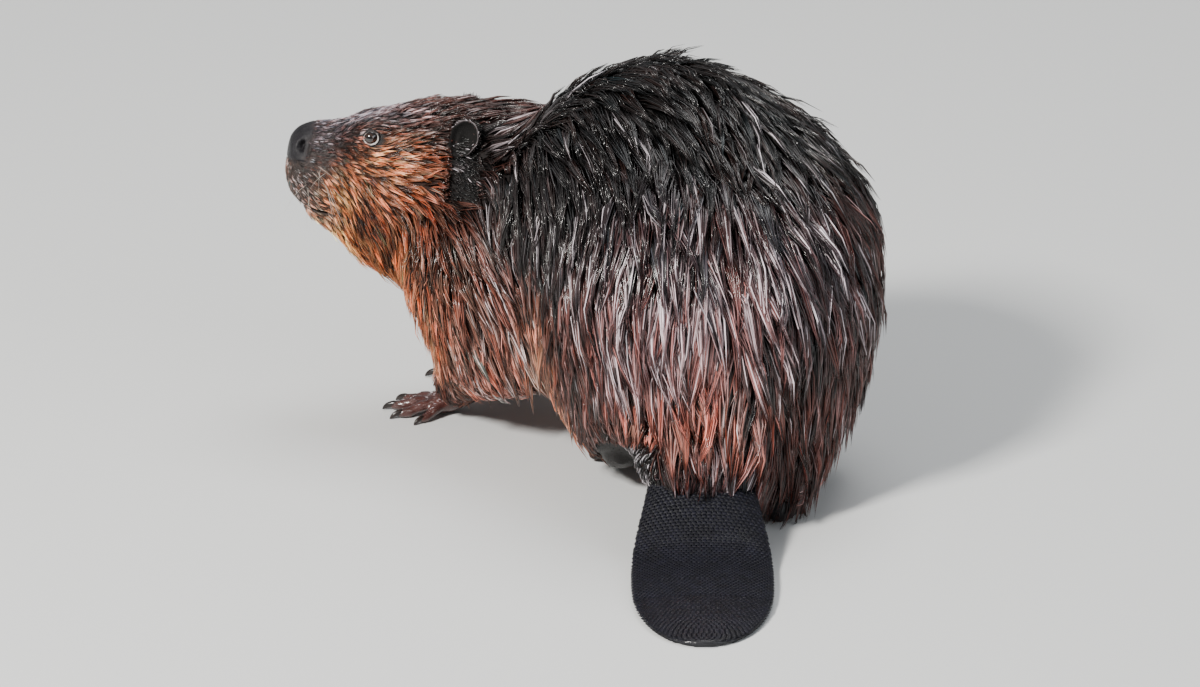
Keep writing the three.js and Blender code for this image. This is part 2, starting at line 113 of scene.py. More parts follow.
def meshOf(name, points, faces):
    faces = np.asarray(faces, np.int32)
    mesh = bpy.data.meshes.new(name)
    mesh.vertices.add(len(points))
    mesh.vertices.foreach_set("co", np.asarray(points, np.float32).ravel())
    mesh.loops.add(faces.size)
    mesh.loops.foreach_set("vertex_index", faces.ravel())
    mesh.polygons.add(len(faces))
    mesh.polygons.foreach_set("loop_start", np.arange(0, faces.size, faces.shape[1], dtype=np.int32))
    mesh.update(calc_edges=True)
    mesh.shade_smooth()
    return mesh


def objectOf(name, mesh, material=None):
    obj = bpy.data.objects.new(name, mesh)
    bpy.context.scene.collection.objects.link(obj)
    if material:
        mesh.materials.append(material)
    return obj


def valuesOf(items, name, width, kind=np.float32):
    values = np.empty(len(items) * width, kind)
    items.foreach_get(name, values)
    return values.reshape(-1, width)


def pointsOf(mesh):
    return valuesOf(mesh.vertices, "co", 3).astype(float)


def normalsOf(mesh):
    return valuesOf(mesh.vertex_normals, "vector", 3).astype(float)


def setPoints(mesh, points):
    mesh.vertices.foreach_set("co", np.asarray(points, np.float32).ravel())
    mesh.update()


def edgesOf(mesh):
    return valuesOf(mesh.edges, "vertices", 2, np.int32)


def trianglesOf(mesh):
    mesh.calc_loop_triangles()
    return valuesOf(mesh.loop_triangles, "vertices", 3, np.int32)


def addAttribute(mesh, name, values):
    # one value or one colour for each point
    values = np.asarray(values, np.float32)
    if values.ndim == 1:
        mesh.attributes.new(name, "FLOAT", "POINT").data.foreach_set("value", values)
    else:
        colours = np.concatenate([values, np.ones((len(values), 1), np.float32)], 1)
        mesh.attributes.new(name, "FLOAT_COLOR", "POINT").data.foreach_set("color", colours.ravel())


def averaged(values, edges):
    count = len(values)
    ends = np.concatenate([edges[:, 0], edges[:, 1]])
    others = np.concatenate([edges[:, 1], edges[:, 0]])
    near = np.maximum(np.bincount(ends, minlength=count), 1)
    sums = [np.bincount(ends, weights=values[others, k], minlength=count) for k in range(values.shape[1])]
    return np.stack(sums, 1) / near[:, None]


def smoothed(points, edges, rounds, pull=0.5, share=None):
    share = 1.0 if share is None else share[:, None]
    for _ in range(rounds):
        points = points + pull * share * (averaged(points, edges) - points)
        points = points - (pull * 1.04) * share * (averaged(points, edges) - points)
    return points


def joined(name, parts):
    points, faces, start = [], [], 0
    for partPoints, partFaces in parts:
        points.append(partPoints)
        faces.append(partFaces + start)
        start += len(partPoints)
    return meshOf(name, np.concatenate(points), np.concatenate(faces))


def remeshed(mesh, voxel):
    source = objectOf("source", mesh)
    remesh = source.modifiers.new("remesh", "REMESH")
    remesh.mode = "VOXEL"
    remesh.voxel_size = voxel
    dressed = source.evaluated_get(bpy.context.evaluated_depsgraph_get())
    made = bpy.data.meshes.new_from_object(dressed)
    bpy.data.objects.remove(source)
    return made


def loftOf(rings):
    count, sides = rings.shape[:2]
    points = rings.reshape(-1, 3)
    ends = np.stack([rings[0].mean(0), rings[-1].mean(0)])
    faces = []
    for i in range(count - 1):
        for j in range(sides):
            a, b = i * sides + j, i * sides + (j + 1) % sides
            faces += [(a, b, b + sides), (a, b + sides, a + sides)]
    for j in range(sides):
        a, b = j, (j + 1) % sides
        faces.append((b, a, count * sides))
        faces.append(((count - 1) * sides + a, (count - 1) * sides + b, count * sides + 1))
    return np.concatenate([points, ends]), np.array(faces)


def curveThrough(stations, steps):
    stations = np.asarray(stations, float)
    count = len(stations)
    made = []
    for s in np.linspace(0, count - 1, steps):
        i = min(int(s), count - 2)
        t = s - i
        p0, p1 = stations[max(i - 1, 0)], stations[i]
        p2, p3 = stations[i + 1], stations[min(i + 2, count - 1)]
        made.append(0.5 * (2 * p1 + (p2 - p0) * t + (2 * p0 - 5 * p1 + 4 * p2 - p3) * t * t
                           + (3 * p1 - p0 - 3 * p2 + p3) * t ** 3))
    return np.array(made)


def tubeOf(stations, sides=12, steps=14, capped=True):
    # stations are x, y, z, radius, flatness
    line = curveThrough(stations, steps)
    middle, radius, flat = line[:, :3], np.maximum(line[:, 3], 0.05), line[:, 4]
    along = unit(np.gradient(middle, axis=0))
    across = unit(np.cross((0, 0, 1.0), along))
    over = np.cross(along, across)
    angle = 2 * math.pi * np.arange(sides) / sides
    rings = (middle[:, None] + (radius[:, None] * np.cos(angle))[..., None] * across[:, None]
             + ((radius * flat)[:, None] * np.sin(angle))[..., None] * over[:, None])
    if capped:  # rounds the tube off at both ends
        first = middle[0] - along[0] * radius[0] * 0.6 + (rings[0] - middle[0]) * 0.45
        last = middle[-1] + along[-1] * radius[-1] * 0.6 + (rings[-1] - middle[-1]) * 0.45
        rings = np.concatenate([first[None], rings, last[None]])
    return loftOf(rings)


def placed(part, at, heading):
    # a part in a foot's own frame, x ahead and y to the left in mm, set down in metres
    points, faces = part
    turn = math.radians(90 + heading)
    ahead = np.array((math.cos(turn), math.sin(turn), 0))
    left = np.array((-ahead[1], ahead[0], 0))
    points = (points[:, :1] * ahead + points[:, 1:2] * left + points[:, 2:] * (0, 0, 1)) * mm
    return points + np.array(at) * mm, faces


# where things are on the animal

def middleOf(node):
    low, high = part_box(node)
    return np.array((low + high) / 2)


eyeAt = {"left": middleOf("left_eye"), "right": middleOf("right_eye")}
forward = np.array((-1.0, 0, 0))
leftward = unit(eyeAt["left"] - eyeAt["right"])
upward = np.cross(forward, leftward)
headOrigin = (eyeAt["left"] + eyeAt["right"]) / 2 - 0.079 * forward


def onHead(x, y, z):
    return headOrigin + (x * forward + y * leftward + z * upward) * mm


def toHead(points):
    away = (points - headOrigin) / mm
    return np.stack([away @ forward, away @ leftward, away @ upward], 1)


# the lie, length and colour of the coat

# colour of the hair, and the share of it that carries pale streaks, painted highlights of wet glints
tones = {
    "nose": (0.010, 0.009, 0.011, 0),
    # muzzle top: black hair painted grey-violet, partly painted sheen
    "muzzleTop": (0.090, 0.066, 0.078, 0.3),
    "muzzleGrey": (0.140, 0.095, 0.078, 0.25),
    "forehead": (0.170, 0.105, 0.110, 0.3),
    "crown": (0.058, 0.025, 0.020, 0.05),
    "crownDark": (0.020, 0.011, 0.011, 0.05),
    "cheekBright": (0.58, 0.210, 0.090, 0.14),
    "cheek": (0.34, 0.110, 0.045, 0.1),
    "cheekBack": (0.100, 0.025, 0.011, 0.02),
    "cheekRed": (0.075, 0.015, 0.006, 0.0),
    "jawPale": (0.78, 0.290, 0.095, 0.2),
    "chin": (0.34, 0.210, 0.160, 0.3),
    "throat": (0.34, 0.105, 0.036, 0.04),
    "neck": (0.022, 0.012, 0.011, 0.08),
    "neckTop": (0.026, 0.010, 0.009, 0.0),
    "chest": (0.23, 0.076, 0.046, 0.14),
    "shoulder": (0.075, 0.026, 0.019, 0.07),
    "belly": (0.38, 0.150, 0.080, 0.15),
    "foreleg": (0.25, 0.105, 0.075, 0.3),
    "back": (0.007, 0.005, 0.005, 0.02),
    "backLeft": (0.009, 0.005, 0.006, 0.03),
    "rumpTop": (0.042, 0.021, 0.025, 0.13),
    "rump": (0.170, 0.072, 0.070, 0.36),
    "hip": (0.090, 0.027, 0.019, 0.1),
    "rumpLow": (0.250, 0.066, 0.036, 0.34),
    "tailRoot": (0.020, 0.016, 0.024, 0.28),
    # right flank and right leg: dark brown hair painted darker still, painted shade on the side turned from
    # the light
    "rightFlank": (0.052, 0.018, 0.014, 0.06),
    "rightLeg": (0.045, 0.011, 0.008, 0.03),
}
# each guide is a place, the way the hair lies there, length, depth, width, spread and tufts per cm2
headGuides = [
    ((128, 0, 4), (-1, 0, 0.03), 4, 1.0, 0.7, 12, 60, "muzzleTop"),
    ((105, 0, 10), (-1, 0, 0.05), 6, 1.4, 0.8, 14, 50, "muzzleTop"),
    ((124, 16, -8), (-1, 0.1, 0.1), 4, 1.0, 0.7, 10, 60, "muzzleTop"),
    ((141, 10, -38), (-0.6, 0.3, -0.7), 3.5, 1.0, 0.6, 10, 60, "muzzleGrey"),
    ((132, 20, -48), (-0.8, 0.2, -0.5), 5, 1.5, 0.7, 10, 55, "muzzleGrey"),
    ((120, 23, -26), (-1, 0.1, -0.1), 6, 1.5, 0.7, 9, 55, "crown"),
    ((104, 28, -16), (-1, 0.1, -0.1), 9, 2.0, 0.9, 12, 40, "crown"),
    ((86, 8, 17), (-1, 0, 0.05), 8, 2.0, 0.9, 14, 40, "muzzleTop"),
    ((78, 27, 14), (-1, 0.1, 0.06), 8, 2.2, 0.9, 10, 40, "crown"),
    ((92, 32, -6), (-1, 0.1, -0.25), 7, 2.0, 0.8, 9, 45, "crown"),
    ((76, 37, -15), (-0.95, 0, -0.3), 11, 3.0, 1.1, 10, 36, "cheekBright"),
    ((98, 31, -34), (-0.85, 0.1, -0.5), 12, 3.0, 1.1, 13, 36, "cheek"),
    ((108, 27, -50), (-0.7, 0.1, -0.7), 11, 3.0, 1.0, 11, 36, "jawPale"),
    ((55, 46, -22), (-0.97, 0, -0.2), 18, 5.0, 1.5, 15, 22, "cheekBright"),
    ((68, 42, -44), (-0.84, 0, -0.52), 19, 5.0, 1.5, 15, 22, "cheek"),
    ((28, 56, -24), (-0.98, 0, -0.15), 22, 6.5, 1.7, 15, 18, "cheekBack"),
    ((36, 54, -54), (-0.84, 0, -0.52), 25, 7.0, 1.8, 16, 16, "cheekBack"),
    ((55, 42, 3), (-1, 0, 0.02), 15, 4.0, 1.2, 12, 28, "crown"),
    ((30, 46, 10), (-1, 0, 0.03), 16, 4.5, 1.3, 14, 24, "crown"),
    ((52, 24, 19), (-1, 0, 0.06), 12, 3.2, 1.1, 13, 30, "forehead"),
    ((48, 8, 30), (-1, 0, 0.1), 12, 3.2, 1.1, 14, 28, "crown"),
    ((14, 20, 34), (-1, 0, 0.12), 18, 5.0, 1.5, 20, 20, "crown"),
    ((-18, 18, 34), (-1, 0, 0.12), 26, 8.0, 1.9, 22, 13, "neckTop"),
    ((12, 52, 2), (-0.97, 0, 0.1), 13, 4.0, 1.2, 12, 24, "crownDark"),
    ((-18, 56, -6), (-0.8, 0.1, -0.55), 24, 8.0, 1.8, 18, 14, "neck"),
    ((4, 58, -18), (-0.9, 0.1, -0.4), 20, 6.5, 1.7, 12, 18, "neck"),
    ((0, 58, -44), (-0.8, 0.1, -0.6), 24, 7.5, 1.8, 13, 16, "neck"),
    ((0, 56, -70), (-0.7, 0.1, -0.7), 28, 8.0, 1.9, 14, 14, "neck"),
    ((112, 10, -84), (-0.6, 0.1, -0.8), 12, 3.5, 1.1, 13, 30, "jawPale"),
    ((131, 20, -27), (-0.9, 0.1, -0.3), 4, 1.0, 0.7, 8, 60, "crownDark"),
    ((124, 14, -72), (-0.8, 0.2, -0.55), 5, 1.5, 0.8, 8, 45, "chin"),
    ((99, 27, -68), (-0.75, 0.1, -0.65), 12, 3.5, 1.1, 13, 32, "cheekRed"),
    ((78, 32, -80), (-0.74, 0.1, -0.65), 20, 6.0, 1.6, 15, 18, "cheekRed"),
    ((78, 14, -104), (-0.6, 0, -0.8), 24, 7.0, 1.8, 18, 15, "throat"),
    ((48, 30, -108), (-0.6, 0, -0.8), 28, 9.0, 1.9, 20, 13, "throat"),
    ((10, 54, -88), (-0.66, 0, -0.75), 30, 9.0, 2.0, 24, 12, "cheekBack"),
    ((30, 20, -126), (-0.5, 0, -0.86), 32, 10, 2.1, 24, 12, "throat"),
]
bodyGuides = [
    ((-75, 215, 300), (1, -0.1, 0.12), 32, 10, 2.0, 30, 11, "neckTop"),
    ((-66, 150, 250), (0.85, -0.1, -0.4), 34, 11, 2.0, 28, 11, "neck"),
    ((-62, 132, 200), (0.7, -0.1, -0.7), 36, 12, 2.1, 30, 11, "neck"),
    ((-100, 140, 160), (0.5, 0, -0.86), 36, 11, 2.1, 28, 11, "chest"),
    ((-128, 180, 130), (0.35, 0, -0.94), 34, 11, 2.0, 28, 11, "throat"),
    ((-104, 220, 90), (0.4, 0, -0.92), 34, 10, 2.0, 30, 10, "chest"),
    ((-75, 285, 240), (0.85, 0.2, -0.45), 34, 11, 2.0, 34, 11, "neck"),
    ((-90, 290, 160), (0.5, 0.1, -0.86), 34, 11, 2.1, 34, 11, "chest"),
    ((-20, 110, 250), (0.75, -0.25, -0.6), 42, 13, 2.2, 34, 10, "back"),
    ((-4, 130, 310), (0.9, -0.35, 0), 42, 13, 2.2, 34, 10, "back"),
    ((-40, 95, 170), (0.5, -0.15, -0.85), 40, 12, 2.2, 30, 10, "shoulder"),
    ((-72, 95, 120), (0.5, -0.1, -0.86), 34, 9, 2.0, 26, 11, "foreleg"),
    ((-84, 115, 72), (0.55, 0, -0.83), 18, 6, 1.7, 24, 15, "foreleg"),
    ((-112, 170, 34), (0.15, 0, -1), 9, 2.2, 1.0, 16, 30, "shoulder"),
    ((-30, 75, 105), (0.3, 0, -0.95), 38, 10, 2.1, 22, 10, "belly"),
    ((-16, 55, 150), (0.28, -0.1, -0.95), 42, 12, 2.2, 24, 10, "belly"),
    ((-25, 10, 250), (0.3, -0.35, -0.88), 46, 13, 2.3, 36, 9, "backLeft"),
    ((-22, -30, 180), (0.08, -0.2, -0.98), 48, 13, 2.3, 34, 9, "hip"),
    ((-14, -30, 110), (0.18, -0.1, -0.97), 28, 9, 2.0, 28, 12, "hip"),
    ((22, -28, 68), (0.35, -0.05, -0.93), 13, 4, 1.6, 24, 16, "shoulder"),
    ((36, -8, 48), (0.2, 0.1, -0.97), 7, 2, 1.2, 18, 24, "shoulder"),
    ((70, 110, 365), (0.62, -0.78, 0), 42, 12, 2.2, 44, 10, "back"),
    ((10, 50, 330), (0.42, -0.75, -0.5), 46, 13, 2.2, 40, 9, "back"),
    ((110, 10, 335), (0.25, -0.86, -0.4), 46, 13, 2.2, 44, 9, "back"),
    ((60, -60, 280), (-0.05, -0.7, -0.7), 48, 13, 2.3, 38, 9, "rumpTop"),
    ((110, -100, 220), (0.05, -0.35, -0.94), 50, 13, 2.3, 38, 9, "rump"),
    ((40, -95, 190), (-0.08, -0.3, -0.95), 50, 13, 2.3, 36, 9, "rump"),
    ((180, -60, 250), (0.42, -0.45, -0.78), 48, 13, 2.3, 38, 9, "rumpTop"),
    ((190, -75, 170), (0.25, -0.25, -0.94), 48, 13, 2.3, 36, 9, "rightFlank"),
    ((100, -110, 140), (0, -0.3, -0.95), 46, 12, 2.2, 32, 9, "rumpLow"),
    ((44, -92, 115), (0.12, -0.3, -0.95), 30, 10, 2.1, 26, 11, "rumpLow"),
    ((20, -62, 90), (0.2, -0.2, -0.95), 14, 6, 1.8, 22, 15, "hip"),
    ((103, -118, 84), (0, -0.55, -0.84), 30, 6, 1.8, 27, 13, "tailRoot"),
    ((60, -110, 66), (0.15, -0.6, -0.8), 22, 6, 1.7, 18, 14, "tailRoot"),
    ((146, -108, 66), (-0.1, -0.6, -0.8), 28, 6, 1.7, 18, 13, "tailRoot"),
    ((240, 60, 210), (0.45, -0.25, -0.86), 46, 13, 2.2, 40, 9, "rightFlank"),
    ((235, -10, 130), (0.25, -0.3, -0.92), 46, 12, 2.2, 34, 9, "rightFlank"),
    ((200, -50, 80), (0.15, -0.4, -0.9), 48, 12, 2.1, 28, 10, "rightLeg"),
    ((175, -70, 50), (0.05, -0.5, -0.85), 50, 9, 1.9, 22, 14, "rightLeg"),
    ((215, 60, 90), (0.2, -0.1, -0.97), 42, 11, 2.1, 34, 10, "rightLeg"),
    ((200, 130, 310), (0.62, -0.6, -0.5), 44, 13, 2.2, 44, 9, "back"),
    ((215, 160, 180), (0.55, -0.3, -0.78), 44, 12, 2.2, 40, 9, "rightFlank"),
    ((130, 240, 250), (0.75, -0.5, -0.45), 44, 13, 2.2, 44, 9, "back"),
    ((140, 240, 130), (0.6, -0.3, -0.74), 40, 11, 2.2, 40, 9, "hip"),
    ((40, 270, 240), (0.85, -0.2, -0.5), 42, 13, 2.2, 40, 9, "back"),
    ((20, 300, 150), (0.6, 0, -0.8), 40, 11, 2.2, 36, 10, "shoulder"),
    ((-50, 280, 110), (0.4, 0.1, -0.9), 32, 9, 2.0, 28, 11, "foreleg"),
    ((-66, 268, 60), (0.3, 0, -0.95), 16, 6, 1.7, 22, 15, "foreleg"),
    ((-78, 262, 30), (0.1, 0, -1), 9, 2.2, 1.0, 16, 30, "shoulder"),
    ((40, 150, 36), (0.6, -0.8, 0), 26, 8, 2.0, 40, 9, "belly"),
    ((130, 60, 34), (0.1, -1, 0), 26, 8, 2.0, 40, 9, "belly"),
    ((-50, 210, 50), (0.8, -0.5, 0), 26, 8, 2.0, 34, 9, "belly"),
]
guides = []
for (x, y, z), (a, b, c), *sizes in headGuides:
    for side in (1, -1) if y else (1,):
        lie = a * forward + side * b * leftward + c * upward
        guides.append((onHead(x, side * y, z), unit(lie), *sizes))
for place, lie, *sizes in bodyGuides:
    guides.append((np.array(place) * mm, unit(lie), *sizes))
guidePlaces = np.array([g[0] for g in guides])
guideLies = np.array([g[1] for g in guides])
guideSizes = np.array([g[2:5] for g in guides], float)  # length, depth, width
guideSpread = np.array([g[5] for g in guides]) * mm
guideDensity = np.array([g[6] for g in guides], float)
guideTones = np.array([tones[g[7]] for g in guides])


def coatAt(points):
    lies, sizes, densities, colours = [], [], [], []
    for part in np.array_split(points, max(1, len(points) // 20000)):
        far = ((part[:, None] - guidePlaces) ** 2).sum(2) / (2 * guideSpread ** 2)
        share = np.exp(far.min(1, keepdims=True) - far)
        share /= share.sum(1, keepdims=True)
        lies.append(share @ guideLies)
        sizes.append(share @ guideSizes)
        densities.append(share @ guideDensity)
        colours.append(share @ guideTones)
    return np.concatenate(lies), np.concatenate(sizes), np.concatenate(densities), np.concatenate(colours)


# the body under its coat

bodyNodes = ["trunk", "neck", "head", "tail_root", "left_hind_leg", "right_hind_leg",
             "left_foreleg", "right_foreleg"]
fleshNodes = bodyNodes + ["left_ear", "right_ear", "left_forefoot", "right_forefoot",
                          "left_hind_foot", "right_hind_foot", "tail"]
parts = []
for node in bodyNodes + ["left_eye", "right_eye", "incisors"]:
    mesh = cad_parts[node].data
    parts.append((pointsOf(mesh) + normalsOf(mesh) * 0.7 * mm, trianglesOf(mesh)))
nakedMesh = remeshed(joined("naked", parts), 3.5 * mm)
nakedEdges = edgesOf(nakedMesh)
nakedPoints = smoothed(pointsOf(nakedMesh), nakedEdges, 24)
for step in range(5):  # sinks the surface by the depth of the coat
    setPoints(nakedMesh, nakedPoints)
    depth = coatAt(nakedPoints)[1][:, 1:2] * mm if step == 0 else depth
    nakedPoints = nakedPoints - normalsOf(nakedMesh) * depth / 5
    nakedPoints = smoothed(nakedPoints, nakedEdges, 2)
setPoints(nakedMesh, nakedPoints)
nakedNormals = normalsOf(nakedMesh)
print("body under the coat:", len(nakedPoints), "points")

# feet, made toe by toe

forePaw = {
    "palm": [(-6, 0, 24, 13, 1), (6, 0, 17, 14, 0.9), (18, 0, 11, 14, 0.8), (30, 0, 8, 13, 0.7)],
    "rootAt": 26,
    "fan": 15,
    "toes": [(-46, 42, 4, 4), (-20, 58, 5, 7.5), (-2, 64, 5.2, 8), (16, 60, 5, 7.5), (36, 48, 4.4, 6.5)],
}
hindPaw = {
    "sole": 82,
    "toes": [(-17, 52, 5, 9), (-9, 74, 6.2, 12), (0, 84, 6.6, 13), (10, 82, 6.4, 12), (22, 70, 5.6, 10)],
    "webReach": 0.86,
}
shiftX, shiftY = eyeAt["left"][0] / mm + 296.0, eyeAt["left"][1] / mm - 160.9
feet = [
    {"kind": "fore", "side": 1, "at": (-214 + shiftX, 170 + shiftY, 0), "heading": 89},
    {"kind": "fore", "side": -1, "at": (-178 + shiftX, 244 + shiftY, 0), "heading": 82},
    {"kind": "hind", "side": 1, "at": (-77 + shiftX, -14 + shiftY, 0), "heading": 2,
     "lift": 24, "spread": 0.45},
    {"kind": "hind", "side": -1, "at": (60 + shiftX, -72 + shiftY, 0), "heading": 0,
     "lift": 0, "spread": 0.8},
]


def toeOf(root, tip, radius, clawLength):
    root, tip = np.array(root, float), np.array(tip, float)
    out = unit((tip - root) * (1, 1, 0))
    knuckle = (root + tip) / 2
    knuckle[2] = max(root[2] * 0.62, tip[2] + 4.5)
    nearTip = tip - out * radius * 1.4 + (0, 0, 0.8)
    fleshLine = [
        (*root, radius * 1.15, 1),
        (*((root + knuckle) / 2 + (0, 0, 1.2)), radius * 0.98, 1),
        (*knuckle, radius * 1.08, 1),
        (*((knuckle + nearTip) / 2), radius * 0.9, 1),
        (*nearTip, radius * 1.02, 1),
        (*(tip + out * radius * 0.3), radius * 0.82, 0.9),
    ]
    base = tip + out * (radius * 0.1) + (0, 0, radius * 0.3)
    end = tip + out * (radius * 0.6 + clawLength)
    end[2] = 0.8
    middle = (base + end) / 2 + (0, 0, clawLength * 0.16)
    nearEnd = middle * 0.35 + end * 0.65 + (0, 0, clawLength * 0.05)
    hornLine = [
        (*(base - out * 2), radius * 0.5, 1),
        (*base, radius * 0.56, 1.1),
        (*middle, radius * 0.44, 1.2),
        (*nearEnd, radius * 0.3, 1.1),
        (*end, 0.5, 1),
    ]
    return tubeOf(fleshLine, 12, 18), tubeOf(hornLine, 8, 12)


fleshParts, claws = [], []
for foot in feet:
    made, side = [], foot["side"]
    if foot["kind"] == "fore":
        made.append(tubeOf(forePaw["palm"], 16, 14))
        for turn, reach, radius, claw in forePaw["toes"]:
            angle = math.radians(turn * side)
            root = (forePaw["rootAt"] - abs(turn) / 4, forePaw["fan"] * math.sin(angle), 8)
            tip = (reach * math.cos(angle), reach * math.sin(angle), radius * 0.82)
            flesh, horn = toeOf(root, tip, radius, claw)
            made.append(flesh)
            claws.append(placed(horn, foot["at"], foot["heading"]))
    else:
        lift, spread = foot["lift"], foot["spread"]
        length = math.sqrt(hindPaw["sole"] ** 2 - lift ** 2)
        sole = [
            (-8, 0, lift + 16, 14, 1),
            (2, 0, lift + 15, 17, 0.95),
            (length * 0.5, 0, lift * 0.45 + 13, 19, 0.72),
            (length, 0, 8.5, 23, 0.42),
            (length + 10, 0, 7, 19, 0.36),
        ]
        made.append(tubeOf(sole, 20, 20))
        heel, tips = np.array((length - 12, 0, 4)), []
        for turn, reach, radius, claw in hindPaw["toes"]:
            angle = math.radians(turn * 1.5 * spread * side)
            aside = side * turn * 0.6 + reach * math.sin(angle)
            tips.append((length + reach * math.cos(angle), aside, radius * 0.8))
            root = (length - abs(turn) / 2, side * turn * 0.9, 8)
            flesh, horn = toeOf(root, tips[-1], radius, claw)
            made.append(flesh)
            claws.append(placed(horn, foot["at"], foot["heading"]))
        for first, second in zip(tips, tips[1:]):  # the web between two toes
            rings = []
            for t in np.linspace(0, hindPaw["webReach"], 14):
                a = heel + (np.array(first) - heel) * t
                b = heel + (np.array(second) - heel) * t
                fold = np.linspace(0, 1, 7)[:, None]
                top = a + (b - a) * fold
                top[:, 2] = 3.6 - 1.2 * np.sin(fold[:, 0] * math.pi) - 0.8 * t
                top[:, 0] -= 7 * t * t * np.sin(fold[:, 0] * math.pi)
                under = top[::-1] - (0, 0, 2.6)
                rings.append(np.concatenate([top, under]))
            made.append(loftOf(np.array(rings)[:, ::-1]))
    fleshParts += [placed(part, foot["at"], foot["heading"]) for part in made]

# the tail paddle

paddle = {
    "rootY": -92, "bendY": -214, "tipY": -345, "rootZ": 36, "middleX": -9, "halfWidth": 61, "widestY": -222,
    "rootHalfWidth": 45, "halfThickness": 9, "rootHalfThickness": 19,
}


def paddlePoint(y, angle):
    p = paddle
    y = np.asarray(y, float)
    toTip = np.clip((p["widestY"] - y) / (p["widestY"] - p["tipY"]), 0, 1)
    widening = np.sin(ease(-p["rootY"], -p["widestY"], -y) * math.pi / 2)
    half = p["rootHalfWidth"] + (p["halfWidth"] - p["rootHalfWidth"]) * widening
    half = half * np.sqrt(np.maximum(1 - toTip ** 2.4, 0))
    slope = 1 - ease(-p["rootY"], -p["bendY"] - 14, -y)
    thick = p["halfThickness"] + (p["rootHalfThickness"] - p["halfThickness"]) * slope ** 1.5
    thick = thick * (1 - 0.62 * toTip)
    rise = p["rootZ"] * slope + thick * 0.72
    across = p["middleX"] + np.maximum(half, 1) * np.cos(angle)
    height = np.maximum(rise + np.maximum(thick, 1) * np.sin(angle), 0.3)
    return np.stack(np.broadcast_arrays(across + shiftX, y + shiftY, height), -1) * mm


tailRings = 1 - (1 - np.linspace(0, 1, 70)) ** 1.4
tailRings = paddle["rootY"] + (paddle["tipY"] + 0.6 - paddle["rootY"]) * tailRings
tailAngles = 2 * math.pi * np.arange(56) / 56
fleshParts.append(loftOf(paddlePoint(tailRings[:, None], tailAngles[None])))

# one skin over body, feet and tail

fleshParts.append((nakedPoints, trianglesOf(nakedMesh)))
skinMesh = remeshed(joined("flesh", fleshParts), 2.6 * mm)
skinPoints = smoothed(pointsOf(skinMesh), edgesOf(skinMesh), 3)
setPoints(skinMesh, skinPoints)


def finer(mesh, inside):
    # halves the faces of a mesh where inside is true at all their points
    chosen = inside(toHead(pointsOf(mesh)))
    work = bmesh.new()
    work.from_mesh(mesh)
    edges = [e for e in work.edges if chosen[e.verts[0].index] and chosen[e.verts[1].index]]
    bmesh.ops.subdivide_edges(work, edges=edges, cuts=1, use_grid_fill=True)
    work.to_mesh(mesh)
    work.free()
    points = pointsOf(mesh)
    share = inside(toHead(points)).astype(float)
    setPoints(mesh, smoothed(points, edgesOf(mesh), 2, share=share))


def eyeReach(p):
    # how far a point on the head lies from the nearer eye's opening, 1 at its edge
    beside = np.hypot((p[:, 0] - 79) / eyePlan["halfLength"], p[:, 2] / eyePlan["halfHeight"])
    return np.where((np.abs(p[:, 1]) > 18) & (p[:, 0] > 40), beside, 99)


eyePlan = {"halfLength": 4.9, "halfHeight": 4.2, "radius": 7.7, "lid": 1.2}
finer(skinMesh, lambda p: (p[:, 0] > 104) | (eyeReach(p) < 4.5))
finer(skinMesh, lambda p: (p[:, 0] > 120) | (eyeReach(p) < 3))
finer(skinMesh, lambda p: (eyeReach(p) < 1.6)
      | (np.hypot(p[:, 0] - 141, p[:, 2] + 12) < 12) & (p[:, 0] > 130))

facePlan = {
    "nostril": {"at": (141.5, 12.0, -11.5), "length": 4.6, "width": 2.3, "depth": 7.0},
    "mouth": {"at": (143, -61.5), "slope": 0.16, "gap": 3.4, "depth": 13, "back": 106},
    "philtrum": {"depth": 1.3, "width": 1.6},
    "pad": {"back": 130, "bottom": -24, "rise": 0.9},
}


def mouthOff(p):
    # height over the line of the lips, and how open they are there
    m = facePlan["mouth"]
    line = m["at"][1] + (p[:, 0] - m["at"][0]) * m["slope"] - 0.012 * p[:, 1] ** 2
    return p[:, 2] - line, m["gap"] * (0.45 + 0.55 * ease(14, 6, np.abs(p[:, 1])))


